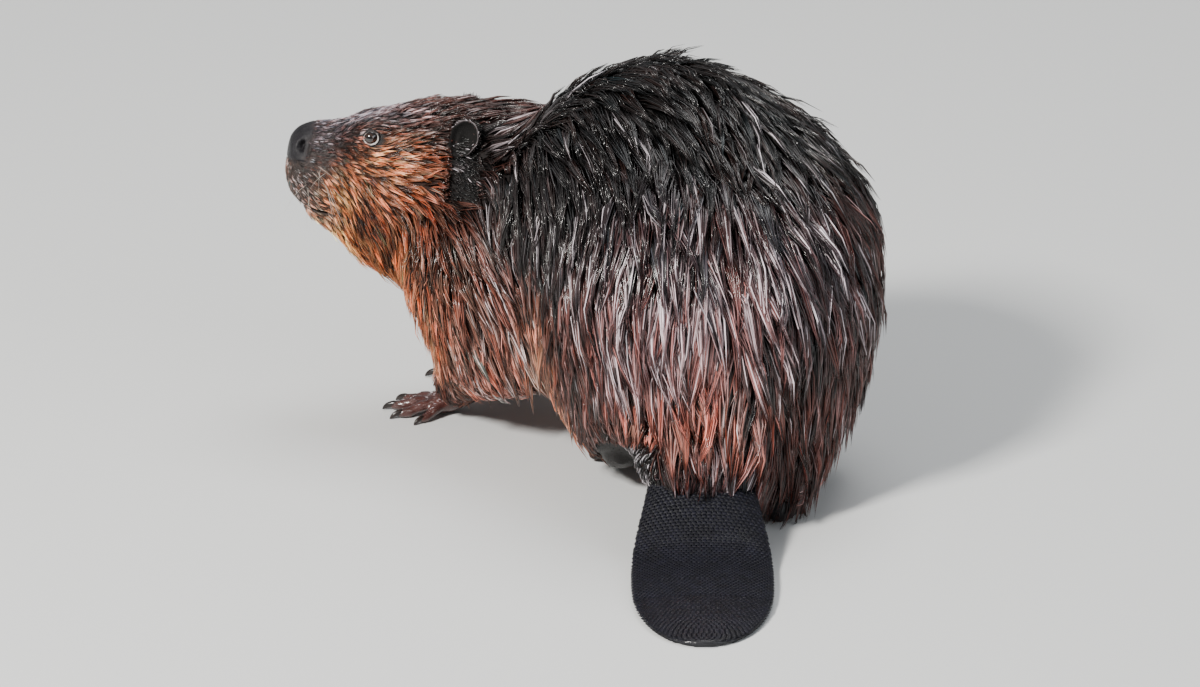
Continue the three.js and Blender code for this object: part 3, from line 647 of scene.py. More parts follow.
def sculptFace(points, normals):
    p = toHead(points)
    out = np.stack([normals @ forward, normals @ leftward, normals @ upward], 1)
    side = np.sign(p[:, 1])
    plan = facePlan
    # the naked nose pad stands a little proud of the short hair round it
    pad = ease(plan["pad"]["back"] - 2, plan["pad"]["back"] + 2, p[:, 0] + 0.25 * p[:, 2])
    pad = pad * ease(plan["pad"]["bottom"] - 2, plan["pad"]["bottom"] + 2, p[:, 2])
    edge = pad * (1 - pad) * 4
    p = p + out * (plan["pad"]["rise"] * pad - 0.9 * edge)[:, None]
    # comma-shaped nostrils, each with a raised wing behind it
    n = plan["nostril"]
    u, w = p[:, 0] - n["at"][0], p[:, 2] - n["at"][2]
    lean = 0.55 * w
    slit = np.exp(-((u + 0.35 * lean + 0.06 * w * w) / n["width"]) ** 2 - (w / n["length"]) ** 2)
    onSide = ease(5, 9, np.abs(p[:, 1])) * (p[:, 0] > 128)
    ring = np.exp(-((np.hypot((u + 0.35 * lean) / 1.3, w / 2.0) - 3.2) / 1.2) ** 2)
    p = p + out * (0.9 * ring * onSide)[:, None]
    inward = np.stack([-0.45 * np.ones(len(p)), -0.85 * side, 0.1 * np.ones(len(p))], 1)
    p = p + inward * (n["depth"] * slit * onSide)[:, None]
    # groove from the nose pad down to the lip, which parts the whisker pads
    groove = np.exp(-(p[:, 1] / plan["philtrum"]["width"]) ** 2) * ease(126, 134, p[:, 0])
    groove = groove * ease(-64, -58, p[:, 2]) * (1 - ease(-24, -16, p[:, 2]))
    p = p - out * (plan["philtrum"]["depth"] * groove)[:, None]
    # parted lips
    m = plan["mouth"]
    off, width = mouthOff(p)
    slot = np.exp(-(np.abs(off) / width) ** 4) * ease(m["back"], m["back"] + 14, p[:, 0])
    middle = np.stack([np.full(len(p), 112.0), p[:, 1] * 0, p[:, 2]], 1)
    inwards = unit(middle - p)
    lips = np.exp(-((np.abs(off) - 1.9 * width) / 1.6) ** 2) * ease(m["back"], m["back"] + 14, p[:, 0])
    p = p + out * (1.0 * lips)[:, None]
    p = p + inwards * (m["depth"] * slot * (0.35 + 0.65 * ease(20, 8, np.abs(p[:, 1]))))[:, None]
    # the lids close round the eye and stand out as a thin rim
    reach = eyeReach(p)
    eye = np.stack([np.full(len(p), 79.0), 34.5 * side, np.zeros(len(p))], 1)
    away = p - eye
    far = np.linalg.norm(away, axis=1)
    r = eyePlan["radius"]
    wanted = np.interp(reach, [0, 0.82, 0.98, 1.16, 1.38, 1.65, 2.2],
                       [r - 2.4, r - 1.8, r + 0.3, r + eyePlan["lid"], r + 0.9, r + 0.1, r + 0.6])
    hold = (1 - ease(1.6, 2.8, reach)) * (reach < 50)
    p = eye + away / far[:, None] * (far + (wanted - far) * hold)[:, None]
    return headOrigin + (p[:, :1] * forward + p[:, 1:2] * leftward + p[:, 2:] * upward) * mm


skinPoints = pointsOf(skinMesh)
onFace = toHead(skinPoints)[:, 0] > 40
skinNormals = normalsOf(skinMesh)
skinPoints[onFace] = sculptFace(skinPoints[onFace], skinNormals[onFace])
skinPoints[:, 2] = np.maximum(skinPoints[:, 2], 0.0)
setPoints(skinMesh, skinPoints)

# ears: thin bowls with a rolled rim, open forward and out

earPlan = {
    "at": (-2, 4, 4), "halfWidth": 13.5, "halfHeight": 17.5, "bowl": 9.5, "rim": 1.2,
    "turn": 62, "tilt": -12, "lean": 20, "sink": -2.0,
}


def earOf(side):
    plan = earPlan
    middle = onHead(plan["at"][0], 0, plan["at"][2])
    lowest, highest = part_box(("left" if side > 0 else "right") + "_ear")
    reach = ((np.array(lowest) + np.array(highest)) / 2 - middle) @ leftward - side * plan["sink"] * mm
    turn, tilt = math.radians(plan["turn"]), math.radians(plan["tilt"])
    facing = math.cos(turn) * forward + side * math.sin(turn) * leftward
    across = unit(np.cross(upward, facing))
    facing = unit(facing * math.cos(tilt) - upward * math.sin(tilt))
    up = unit(np.cross(facing, across))
    lean = math.radians(plan["lean"]) * side
    up, across = up * math.cos(lean) + across * math.sin(lean), across * math.cos(lean) - up * math.sin(lean)
    rows, sides = 22, 48
    angle = 2 * math.pi * np.arange(sides) / sides
    rings = []
    profile = [(t, 0) for t in np.linspace(0.06, 1, rows)] + [(t, 1) for t in np.linspace(1, 0.06, rows)]
    for t, back in profile:
        ragged = 1 + 0.035 * np.sin(3 * angle + 1) + 0.025 * np.sin(7 * angle) + 0.06 * np.sin(angle)
        wide = plan["halfWidth"] * t * ragged
        high = plan["halfHeight"] * t * (1 + 0.04 * np.sin(2 * angle + 0.7))
        bowl = -plan["bowl"] * (1 - t ** 2.4)
        roll = plan["rim"] * np.exp(-((t - 0.93) / 0.09) ** 2)
        folds = 1.6 * np.exp(-((t - 0.55) / 0.13) ** 2) * np.exp(-((angle - 3.6) / 0.8) ** 2)
        depth = bowl + (roll + folds if not back else -2.2 * (1 - t ** 6) - 0.9)
        ring = (middle + leftward * reach + (wide * np.cos(angle) * mm)[:, None] * across
                + (high * np.sin(angle) * mm)[:, None] * up + (depth * np.ones(sides) * mm)[:, None] * facing)
        rings.append(ring)
    points, faces = loftOf(np.array(rings))
    return points, faces, middle + leftward * reach, facing, up


ears = {}
for name, side in (("left", 1), ("right", -1)):
    points, faces, centre, facing, up = earOf(side)
    volume = np.einsum("ij,ij->i", points[faces[:, 0]] - centre,
                       np.cross(points[faces[:, 1]] - centre, points[faces[:, 2]] - centre)).sum()
    if volume < 0:
        faces = faces[:, ::-1]
    ears[name] = {"mesh": meshOf(f"ear_{name}", points, faces), "centre": centre, "facing": facing, "up": up}

bodyCount = len(skinMesh.vertices)
whole = bmesh.new()
for mesh in (skinMesh, *[ear["mesh"] for ear in ears.values()]):
    whole.from_mesh(mesh)
whole.to_mesh(skinMesh)
whole.free()
for face in skinMesh.polygons:
    face.use_smooth = True
skin = objectOf("beaver_skin", skinMesh)
skinPoints = pointsOf(skinMesh)
skinNormals = normalsOf(skinMesh)
print("skin:", len(skinPoints), "points,", len(skinMesh.polygons), "faces")
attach(skin, "root")
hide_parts(*fleshNodes)

# the coat: tufts that lie along the body

nakedLies, _, nakedDensity, nakedTones = coatAt(nakedPoints)
nakedTree = KDTree(len(nakedPoints))
for i, point in enumerate(nakedPoints):
    nakedTree.insert(point, i)
nakedTree.balance()


def nearestNaked(points):
    return np.array([nakedTree.find(p)[1] for p in points.tolist()])


# the bare left heel, in metres: its half width, and the sloping edge where the fur ends above it
heelPlan = {
    "middle": (feet[2]["at"][0] * mm, (feet[2]["at"][1] - 6) * mm, 0.026),
    "reach": 0.022, "halfWidth": 0.023, "fade": 0.007, "slope": 0.404, "edge": 0.055, "behind": 0.05,
}


def aboveHeel(points):
    return points[:, 2] + heelPlan["slope"] * points[:, 1] - heelPlan["edge"]


def besideHeel(points):
    away = np.abs(points[:, 0] - heelPlan["middle"][0] - 0.003)
    beside = ease(heelPlan["halfWidth"] + heelPlan["fade"], heelPlan["halfWidth"], away)
    return beside * ease(-0.100, -0.090, points[:, 1]) * (points[:, 1] < heelPlan["behind"])


near = nearestNaked(skinPoints)
flatOff = np.abs(((skinPoints - nakedPoints[near]) * nakedNormals[near]).sum(1)) / mm
skinHead = toHead(skinPoints)
bare = ease(1.6, 3.0, flatOff) * (skinPoints[:, 2] < 0.12)
lipOff, lipWidth = mouthOff(skinHead)
inMouth = np.exp(-(np.abs(lipOff) / (1.7 * lipWidth)) ** 4) * ease(114, 122, skinHead[:, 0])
frayed = 1.6 * np.sin(skinHead @ (0.3, 1.1, 1.3)) + 1.2 * np.sin(skinHead @ (0.9, -1.7, 0.8))
onNose = ease(127, 135, skinHead[:, 0] + 0.25 * skinHead[:, 2] + frayed)
onNose = onNose * ease(-27, -22, skinHead[:, 2] + frayed)
onEar = np.arange(len(skinPoints)) >= bodyCount
bare = np.maximum.reduce([bare, onNose, onEar, inMouth])
bare = np.maximum(bare, 1 - ease(1.5, 2.1, eyeReach(skinHead)))
fromHeel = np.linalg.norm(skinPoints - heelPlan["middle"], axis=1)
onHeel = 1 - ease(heelPlan["reach"], heelPlan["reach"] + heelPlan["fade"], fromHeel)
underFur = ease(0.003, -0.003, aboveHeel(skinPoints)) * besideHeel(skinPoints) * (skinPoints[:, 1] > -0.04)
onHeel = np.maximum(onHeel, underFur)
bare = np.maximum(bare, onHeel)

bpy.context.view_layer.objects.active = skin
skin.select_set(True)
bpy.ops.object.mode_set(mode="EDIT")
bpy.ops.mesh.select_all(action="SELECT")
bpy.ops.uv.smart_project(angle_limit=math.radians(66), island_margin=0.002)
bpy.ops.object.mode_set(mode="OBJECT")
skinMesh.uv_layers.active.name = "OFBake"
print("skin unwrapped")

coatPlan = {
    "tufts": 84000,
    "grouping": 10,  # tufts that share a lock
    "stations": (0.0, 0.3, 0.66, 1.0),
    "gather": (0.0, 0.34, 0.78, 0.94),  # how far they draw together from root to tip
    "girth": (0.6, 1.0, 0.72),
    "rise": (0.0, 0.6, 0.95, 1.0),
    "thickness": 0.6,
    "slender": 0.7,
    "longer": 1.3,
    "stray": 0.04,
    "toneSpread": 0.42,
    # painted shade: how much darker the hair lying deep between the locks is painted
    "gapShade": 0.72,  # how much darker the hair deep between the locks is
    # colour of the pale streaks, painted highlights of wet glints on the coat
    "streak": (0.88, 0.80, 0.86),
}

cornerPoints = trianglesOf(skinMesh)
cornerLoops = valuesOf(skinMesh.loop_triangles, "loops", 3, np.int32)
bakeUv = valuesOf(skinMesh.uv_layers["OFBake"].data, "uv", 2)
corners = skinPoints[cornerPoints]
areas = np.linalg.norm(np.cross(corners[:, 1] - corners[:, 0], corners[:, 2] - corners[:, 0]), axis=1) / 2
wanted = areas * nakedDensity[near][cornerPoints].mean(1) * (1 - bare[cornerPoints].max(1))
wanted[corners[:, :, 2].max(1) < 0.004] = 0
print("wanted tufts:", int(wanted.sum() * 1e4))


def sown(weight, number):
    # picks places on the skin by weight, with their place on its unwrap
    chosen = dice.choice(len(weight), number, p=weight / weight.sum())
    mix = dice.random((number, 2))
    mix = np.where(mix.sum(1, keepdims=True) > 1, 1 - mix, mix)
    mix = np.concatenate([1 - mix.sum(1, keepdims=True), mix], 1)[..., None]
    return (corners[chosen] * mix).sum(1), (bakeUv[cornerLoops[chosen]] * mix).sum(1), cornerPoints[chosen, 0]


def streakField(step, reach):
    # noise drawn out along the lie of the coat, so that neighbouring locks form long streaks
    noise = dice.normal(0, 1, len(nakedPoints))
    total = noise.copy()
    for way in (1, -1):
        spot, at = nakedPoints, np.arange(len(nakedPoints))
        for _ in range(reach):
            spot = spot + way * step * unit(nakedLies[at])
            at = nearestNaked(spot)
            over = ((spot - nakedPoints[at]) * nakedNormals[at]).sum(1, keepdims=True)
            spot = spot - over * nakedNormals[at]
            total += noise[at]
    return (total - total.mean()) / total.std()


streakAt = streakField(6 * mm, 5)
print("streaks laid")
roots, rootUv, _ = sown(wanted, coatPlan["tufts"])
atRoot = nearestNaked(roots)
count = len(roots)
sizes = coatAt(roots)
rootHead = toHead(roots)
onBody = ease(30, -20, rootHead[:, 0])
length = sizes[1][:, 0] * mm * dice.uniform(0.75, 1.2, count) * (1.05 + (coatPlan["longer"] - 1.05) * onBody)
room = np.maximum(aboveHeel(roots) * dice.uniform(0.7, 1.05, count), 0.003) + 0.003
length = np.where(besideHeel(roots) > 0.3, np.minimum(length, room), length)
# the hair stops short of the ears, in front of a hollow under each, where hair and skin are painted
# near-black as painted shade
hollow = {"side": 35, "bottom": -46, "top": 20, "back": -13, "front": 9, "hairEnds": 7,
          "length": 0.010, "depth": 0.0015}
earZone = np.abs(rootHead[:, 1]) > hollow["side"]
earZone = earZone & (rootHead[:, 2] > hollow["bottom"]) & (rootHead[:, 2] < hollow["top"])
inHollow = earZone & (rootHead[:, 0] > hollow["back"]) & (rootHead[:, 0] < hollow["front"])
ahead = (rootHead[:, 0] - hollow["hairEnds"]) * dice.uniform(0.85, 1.15, count) * mm
shorter = np.minimum(length, ahead + 0.001)
length = np.where(earZone & (rootHead[:, 0] >= hollow["front"]), shorter, length)
length = np.where(inHollow, hollow["length"], length)
coatDepth = np.where(inHollow, hollow["depth"], sizes[1][:, 1] * mm)
girth = sizes[1][:, 2] * mm / 2 * dice.uniform(0.55, 1.15, count) * coatPlan["slender"] * (0.8 + 0.2 * onBody)
tone, glintShare = sizes[3][:, :3], sizes[3][:, 3]
# near-black: painted shade for the hair in the hollows under the ears, and the bare heel's own black for the
# hair beside it
tone[inHollow | ((besideHeel(roots) > 0.3) & (aboveHeel(roots) < 0))] = (0.004, 0.003, 0.003)

# locks: the tufts around one leader draw together towards its tip
odds = 1 + 1.8 * (1 - onBody)
leaders = np.sort(dice.choice(count, count // coatPlan["grouping"], replace=False, p=odds / odds.sum()))
leaderTree = KDTree(len(leaders))
for i, k in enumerate(leaders):
    leaderTree.insert(roots[k], i)
leaderTree.balance()
found = [leaderTree.find(p) for p in roots.tolist()]
leader = leaders[np.array([f[1] for f in found])]
leaderGap = np.array([f[2] for f in found])

turn = dice.normal(0, 0.05, count) + dice.normal(0, 0.1, count)[leader]
turn = turn + 0.15 * np.sin(roots @ (61, 43, 37) + 1.3) + 0.1 * np.sin(roots @ (-97, 71, 113))
wave = dice.normal(0, 0.12, count)[leader] + dice.normal(0, 0.05, count)
streak = (0.4 + 0.35 * onBody) * streakAt[atRoot] + (0.9 - 0.4 * onBody) * dice.normal(0, 1, count)[leader]
streak = streak + (0.25 + 0.35 * onBody) * dice.normal(0, 1, count)
lift = np.clip(0.65 + 0.3 * streak, 0.1, 1.1)
rise = coatDepth * (0.25 + 0.75 * lift) * dice.uniform(0.7, 1.0, count)
ruff = (rootHead[:, 2] < -58) & (rootHead[:, 0] > 30) & (rootHead[:, 0] < 116)
loose = dice.random(count) < 0.3 * ruff
loose = loose | (dice.random(count) < coatPlan["stray"])[leader]
loose = loose | (dice.random(count) < coatPlan["stray"])
rise = rise + np.where(loose, dice.uniform(2, 7, count)[leader] * mm * np.minimum(length / 0.04, 1), 0)

stations = coatPlan["stations"]
path = [roots - nakedNormals[atRoot] * 0.8 * mm]
normals = [nakedNormals[atRoot]]
at = atRoot
for k in range(1, len(stations)):
    normal = nakedNormals[at]
    lie = nakedLies[at]
    lie = unit(lie - (lie * normal).sum(1, keepdims=True) * normal)
    bend = (turn + wave * (k - 2))[:, None]
    lie = lie * np.cos(bend) + np.cross(normal, lie) * np.sin(bend)
    # hair that reaches past a lower edge of the body hangs on straight
    hang = ease(0.0, -0.5, normal[:, 2]) * (nakedNormals[atRoot][:, 2] > -0.35)
    if k > 1:
        before = unit(path[-1] - path[-2])
        lie = unit(lie * (1 - hang[:, None]) + (before + (0, 0, -0.3)) * hang[:, None])
    ahead = path[-1] + lie * (length * (stations[k] - stations[k - 1]))[:, None]
    at = nearestNaked(ahead)
    over = ((ahead - nakedPoints[at]) * nakedNormals[at]).sum(1)
    hang = ease(0.0, -0.5, nakedNormals[at][:, 2]) * (nakedNormals[atRoot][:, 2] > -0.35)
    ahead = ahead + ((rise * coatPlan["rise"][k] - over) * (1 - hang))[:, None] * nakedNormals[at]
    path.append(ahead)
    normals.append(nakedNormals[at])
path, normals = np.stack(path, 1), np.stack(normals, 1)
hold = ease(0.016, 0.008, leaderGap) * (0.92 + 0.08 * onBody)
hold = hold * (0.3 + 0.7 * ease(0.004, 0.014, length)) * ~inHollow
gather = np.array(coatPlan["gather"])[None, :, None] * hold[:, None, None]
apart = (roots - roots[leader])[:, None] * (1 - np.array(stations))[None, :, None] * 0.5
stretch = (length / length[leader])[:, None, None]
follow = path[leader, :1] + (path[leader] - path[leader, :1]) * np.clip(stretch, 0.7, 1.3)
path = path * (1 - gather) + (follow + apart) * gather
path[:, :, 2] = np.maximum(path[:, :, 2], 0.6 * mm)
print("tuft paths done")

# tufts that lie higher are lighter and those deep between the locks darker, painted shade in the depth of the
# coat
contrast = coatPlan["toneSpread"] + 0.15 * (1 - onBody)
vary = dice.lognormal(-0.05, 0.2, count) * np.exp(contrast * np.clip(streak, -2, 1.8))
vary = vary * (1 - coatPlan["gapShade"] * ease(-0.15, -0.85, streak + dice.normal(0, 0.3, count)))
tone = tone * vary[:, None]
warm = (dice.normal(0, 0.1, count) + dice.normal(0, 0.2, count)[leader])[:, None] * (1, -0.2, -0.6)
tone = np.clip(tone * (1 + warm), 0.002, 0.9)
# pale streaks, painted highlights of wet glints, are mixed into the locks that lie highest
limit = np.interp(glintShare, [0, 0.03, 0.1, 0.2, 0.3, 0.5], [4, 1.9, 1.3, 0.9, 0.6, 0])
mixed = (ease(limit - 0.2, limit + 0.3, streak) * dice.uniform(0.1, 1.0, count) ** 1.4)[:, None]
onCheek = (tone[:, 0] / tone[:, 2] > 3.2)[:, None]
glintStrength = np.where(onCheek, 0.2, 0.65 + 0.25 * onBody[:, None])
glintTone = np.array(coatPlan["streak"]) * glintStrength + tone * np.where(onCheek, 1.6, 1.2)
tone = tone * (1 - mixed) + mixed * glintTone

# short hair on the upper side of the feet and on the ears, laid straight from its root
triUp = skinNormals[cornerPoints].mean(1)[:, 2]
triSpot = corners.mean(1)
toeWay = np.zeros((len(skinPoints), 3))
footGap = np.full(len(skinPoints), 9.0)
for foot in feet:
    ends, _ = placed((np.array([(0.0, 0, 0), (60.0, 0, 0)]), []), foot["at"], foot["heading"])
    gap = np.linalg.norm((skinPoints - ends.mean(0))[:, :2], axis=1)
    toeWay[gap < footGap] = unit(ends[1] - ends[0])
    footGap = np.minimum(footGap, gap)
earWay = np.zeros((len(skinPoints), 3))
for ear in ears.values():
    nearEar = np.linalg.norm(skinPoints - ear["centre"], axis=1) < 0.03
    away = skinPoints - ear["centre"]
    radial = away - (away @ ear["facing"])[:, None] * ear["facing"]
    earWay[nearEar] = unit(radial + 0.012 * ear["up"] - 0.004 * forward - 0.004 * ear["facing"])[nearEar]
onBack = np.zeros(len(skinPoints))
for ear in ears.values():
    nearEar = onEar & (np.linalg.norm(skinPoints - ear["centre"], axis=1) < 0.03)
    onBack[nearEar] = ease(0.3, -0.2, skinNormals[nearEar] @ ear["facing"])
shortHair = [
    {"weight": areas * (footGap < 0.09)[cornerPoints[:, 0]] * bare[cornerPoints].mean(1)
     * ease(0.1, 0.5, triUp) * ease(0.006, 0.016, triSpot[:, 2]) * (triSpot[:, 1] > -0.06),
     "count": 2600, "way": toeWay, "length": (2, 4), "width": 0.5, "rise": 0.35,
     "tone": (0.08, 0.030, 0.026), "glints": 0.3},
    {"weight": areas * onBack[cornerPoints].mean(1), "count": 1500, "way": earWay,
     "length": (2.5, 4.5), "width": 0.6, "rise": 0.8, "tone": (0.024, 0.015, 0.014), "glints": 0.03},
    {"weight": areas * onHeel[cornerPoints].mean(1) * (triSpot[:, 2] > 0.005), "count": 400,
     "way": np.tile((0.1, 0.3, -1.0), (len(skinPoints), 1)), "length": (3, 6), "width": 0.6, "rise": 0.3,
     "tone": (0.003, 0.002, 0.002), "glints": 0.04},
]
for plan in shortHair:
    spots, spotUv, corner = sown(plan["weight"], plan["count"])
    normal = skinNormals[corner]
    way = plan["way"][corner]
    way = unit(way - (way * normal).sum(1, keepdims=True) * normal + dice.normal(0, 0.16, (plan["count"], 3)))
    long = (dice.uniform(*plan["length"], plan["count"]) * mm)[:, None, None]
    share = np.array(stations)[None, :, None]
    above = normal[:, None] * (plan["rise"] * np.sqrt(share) - 0.5) * mm
    lines = spots[:, None] + way[:, None] * long * share + above
    path = np.concatenate([path, lines])
    normals = np.concatenate([normals, np.repeat(normal[:, None], len(stations), 1)])
    girth = np.append(girth, plan["width"] * mm / 2 * dice.uniform(0.6, 1.1, plan["count"]))
    shades = np.array(plan["tone"]) * dice.lognormal(0, 0.3, plan["count"])[:, None]
    # some hairs take the pale streak colour, painted highlights of wet glints
    shades[dice.random(plan["count"]) < plan["glints"]] = coatPlan["streak"]
    tone = np.concatenate([tone, shades])
    rootUv = np.concatenate([rootUv, spotUv])
    roots = np.concatenate([roots, spots])


def tuftMesh(name, pick, material):
    lines, sides = path[pick], normals[pick]
    along = unit(np.gradient(lines, axis=1))
    across = unit(np.cross(along, sides))
    over = np.cross(across, along)
    half = (girth[pick, None] * np.array(coatPlan["girth"]))[..., None]
    body = lines[:, :-1]
    rings = np.stack([body - across[:, :-1] * half, body + over[:, :-1] * half * coatPlan["thickness"] * 2,
                      body + across[:, :-1] * half], 2)
    number, steps = len(pick), rings.shape[1]
    points = np.concatenate([rings.reshape(number, -1, 3), lines[:, -1:]], 1)
    per = points.shape[1]
    faces = [(0, 2, 1)]
    for i in range(steps - 1):
        for j in range(3):
            a, b = 3 * i + j, 3 * i + (j + 1) % 3
            faces += [(a, b, b + 3), (a, b + 3, a + 3)]
    last = 3 * (steps - 1)
    faces += [(last, last + 1, per - 1), (last + 1, last + 2, per - 1), (last + 2, last, per - 1)]
    faces = np.array(faces)
    allFaces = (faces[None] + (np.arange(number) * per)[:, None, None]).reshape(-1, 3)
    mesh = meshOf(name, points.reshape(-1, 3), allFaces)
    share = np.append(np.repeat(stations[:-1], 3), 1.0)
    addAttribute(mesh, "tone", np.repeat(tone[pick], per, 0))
    addAttribute(mesh, "along", np.tile(share, number))
    patch = np.stack([np.append(np.tile((-1, 0, 1), steps), 0), share * 2 - 1], 1) * 0.0015
    spots = (rootUv[pick][:, None] + patch[None]).reshape(-1, 2)
    layer = mesh.uv_layers.new(name="OFBake")
    layer.data.foreach_set("uv", spots[allFaces.ravel()].astype(np.float32).ravel())
    tuft = objectOf(name, mesh, material)
    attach(tuft, "root")
    return tuft


# materials

def groupOf(name, inputs, outputs):
    group = bpy.data.node_groups.new(name, "ShaderNodeTree")
    for label, kind, value in inputs:
        socket = group.interface.new_socket(name=label, in_out="INPUT", socket_type=kind)
        socket.default_value = value
    for label, kind in outputs:
        group.interface.new_socket(name=label, in_out="OUTPUT", socket_type=kind)
    return group, group.nodes.new("NodeGroupInput"), group.nodes.new("NodeGroupOutput")


def nodeIn(tree, kind, **settings):
    node = tree.nodes.new(kind)
    for key, value in settings.items():
        label = key.replace("_", " ")
        if label in node.inputs:
            node.inputs[label].default_value = value
        else:
            setattr(node, key, value)
    return node


def link(source, output, target, socket):
    source.id_data.links.new(source.outputs[output], target.inputs[socket])


def grainGroup():
    # leathery grain: small cells with creases between them, and a slow drift in shade
    group, given, made = groupOf(
        "hideGrain",
        [("Cell Size", "NodeSocketFloat", 900.0), ("Crease", "NodeSocketFloat", 1.0)],
        [("Height", "NodeSocketFloat"), ("Shade", "NodeSocketFloat")],
    )
    where = nodeIn(group, "ShaderNodeTexCoord")
    cells = nodeIn(group, "ShaderNodeTexVoronoi", feature="DISTANCE_TO_EDGE")
    link(where, "Object", cells, "Vector")
    link(given, "Cell Size", cells, "Scale")
    crease = nodeIn(group, "ShaderNodeMapRange", From_Max=0.25)
    link(cells, "Distance", crease, "Value")
    fine = nodeIn(group, "ShaderNodeTexNoise", Scale=2200.0, Detail=3.0)
    link(where, "Object", fine, "Vector")
    mixed = nodeIn(group, "ShaderNodeMath", operation="MULTIPLY_ADD")
    link(crease, "Result", mixed, 0)
    link(given, "Crease", mixed, 1)
    link(fine, "Fac", mixed, 2)
    link(mixed, "Value", made, "Height")
    drift = nodeIn(group, "ShaderNodeTexNoise", Scale=90.0, Detail=4.0)
    link(where, "Object", drift, "Vector")
    shade = nodeIn(group, "ShaderNodeMapRange", From_Min=0.3, From_Max=0.7, To_Min=0.6, To_Max=1.4)
    link(drift, "Fac", shade, "Value")
    link(shade, "Result", made, "Shade")
    return group


def strandGroup():
    # a hair is darkened at its root as painted shade deep in the coat, and lighter at its tip, with a broken
    # tone along it
    group, given, made = groupOf(
        "hairShade",
        [("Tone", "NodeSocketColor", (0.1, 0.05, 0.03, 1)), ("Along", "NodeSocketFloat", 0.5),
         ("Root", "NodeSocketFloat", 0.4), ("Tip", "NodeSocketFloat", 1.25)],
        [("Color", "NodeSocketColor"), ("Roughness", "NodeSocketFloat")],
    )
    ramp = nodeIn(group, "ShaderNodeMapRange")
    link(given, "Along", ramp, "Value")
    link(given, "Root", ramp, "To Min")
    link(given, "Tip", ramp, "To Max")
    where = nodeIn(group, "ShaderNodeTexCoord")
    patch = nodeIn(group, "ShaderNodeTexNoise", Scale=55.0, Detail=3.0)
    link(where, "Object", patch, "Vector")
    broken = nodeIn(group, "ShaderNodeMapRange", From_Min=0.3, From_Max=0.7, To_Min=0.75, To_Max=1.3)
    link(patch, "Fac", broken, "Value")
    times = nodeIn(group, "ShaderNodeMath", operation="MULTIPLY")
    link(ramp, "Result", times, 0)
    link(broken, "Result", times, 1)
    shade = nodeIn(group, "ShaderNodeVectorMath", operation="SCALE")
    link(given, "Tone", shade, 0)
    link(times, "Value", shade, "Scale")
    link(shade, "Vector", made, "Color")
    rough = nodeIn(group, "ShaderNodeMapRange", From_Min=0.35, From_Max=0.65, To_Min=0.24, To_Max=0.42)
    link(patch, "Fac", rough, "Value")
    link(rough, "Result", made, "Roughness")
    return group


hideGrain, hairShade = grainGroup(), strandGroup()


def newMaterial(name, **constants):
    material = bpy.data.materials.new(name)
    material.use_nodes = True
    shader = material.node_tree.nodes["Principled BSDF"]
    for label, value in constants.items():
        shader.inputs[label.replace("_", " ")].default_value = value
    return material, material.node_tree, shader


def placedGroup(tree, group, **values):
    node = tree.nodes.new("ShaderNodeGroup")
    node.node_tree = group
    for label, value in values.items():
        node.inputs[label.replace("_", " ")].default_value = value
    return node


def hairMaterial(name, root, tip, coat):
    material, tree, shader = newMaterial(name, Coat_Weight=coat, Coat_Roughness=0.14)
    tint = nodeIn(tree, "ShaderNodeAttribute", attribute_name="tone")
    along = nodeIn(tree, "ShaderNodeAttribute", attribute_name="along")
    hair = placedGroup(tree, hairShade, Root=root, Tip=tip)
    link(tint, "Color", hair, "Tone")
    link(along, "Fac", hair, "Along")
    link(hair, "Color", shader, "Base Color")
    link(hair, "Roughness", shader, "Roughness")
    return material


def hideMaterial(name, cell, crease, depth, coat, shine=0.3, tinted=True, colour=(0.02, 0.02, 0.02)):
    material, tree, shader = newMaterial(
        name, Coat_Weight=coat, Coat_Roughness=0.16, Specular_IOR_Level=shine)
    grain = placedGroup(tree, hideGrain, Cell_Size=cell, Crease=crease)
    shade = nodeIn(tree, "ShaderNodeVectorMath", operation="SCALE")
    if tinted:
        tint = nodeIn(tree, "ShaderNodeAttribute", attribute_name="tone")
        link(tint, "Color", shade, 0)
        dull = nodeIn(tree, "ShaderNodeAttribute", attribute_name="dull")
        link(dull, "Fac", shader, "Roughness")
        wet = nodeIn(tree, "ShaderNodeAttribute", attribute_name="wet")
        link(wet, "Fac", shader, "Coat Weight")
    else:
        shade.inputs[0].default_value = colour
        shader.inputs["Roughness"].default_value = 0.32
    link(grain, "Shade", shade, "Scale")
    link(shade, "Vector", shader, "Base Color")
    relief = nodeIn(tree, "ShaderNodeBump", Strength=0.6, Distance=depth * mm)
    link(grain, "Height", relief, "Height")
    link(relief, "Normal", shader, "Normal")
    return material


# the second number is the painted shade at the hair's roots
coatMaterial = hairMaterial("wetCoat", 0.3, 1.35, 0.5)
faceMaterial = hairMaterial("faceHair", 0.3, 1.4, 0.2)
skinMaterial = hideMaterial("bareHide", 700.0, 0.8, 0.4, 0.0)
hornMaterial = hideMaterial("clawHorn", 400.0, 0.2, 0.1, 0.4, tinted=False, colour=(0.016, 0.011, 0.010))
scaleMaterial = hideMaterial("tailScales", 1100.0, 0.4, 0.2, 0.1, shine=0.22)

# markings of the skin

onCheeks = ease(-20, 30, skinHead[:, 0]) * ease(118, 100, skinHead[:, 0])
skinTone = nakedTones[near][:, :3] * (0.25 - 0.15 * onCheeks)[:, None]
skinDull = np.full(len(skinPoints), 0.7)


def paint(share, colour, dull):
    share = np.clip(share, 0, 1)[:, None]
    skinTone[:] = skinTone * (1 - share) + np.array(colour) * share
    skinDull[:] = skinDull * (1 - share[:, 0]) + dull * share[:, 0]


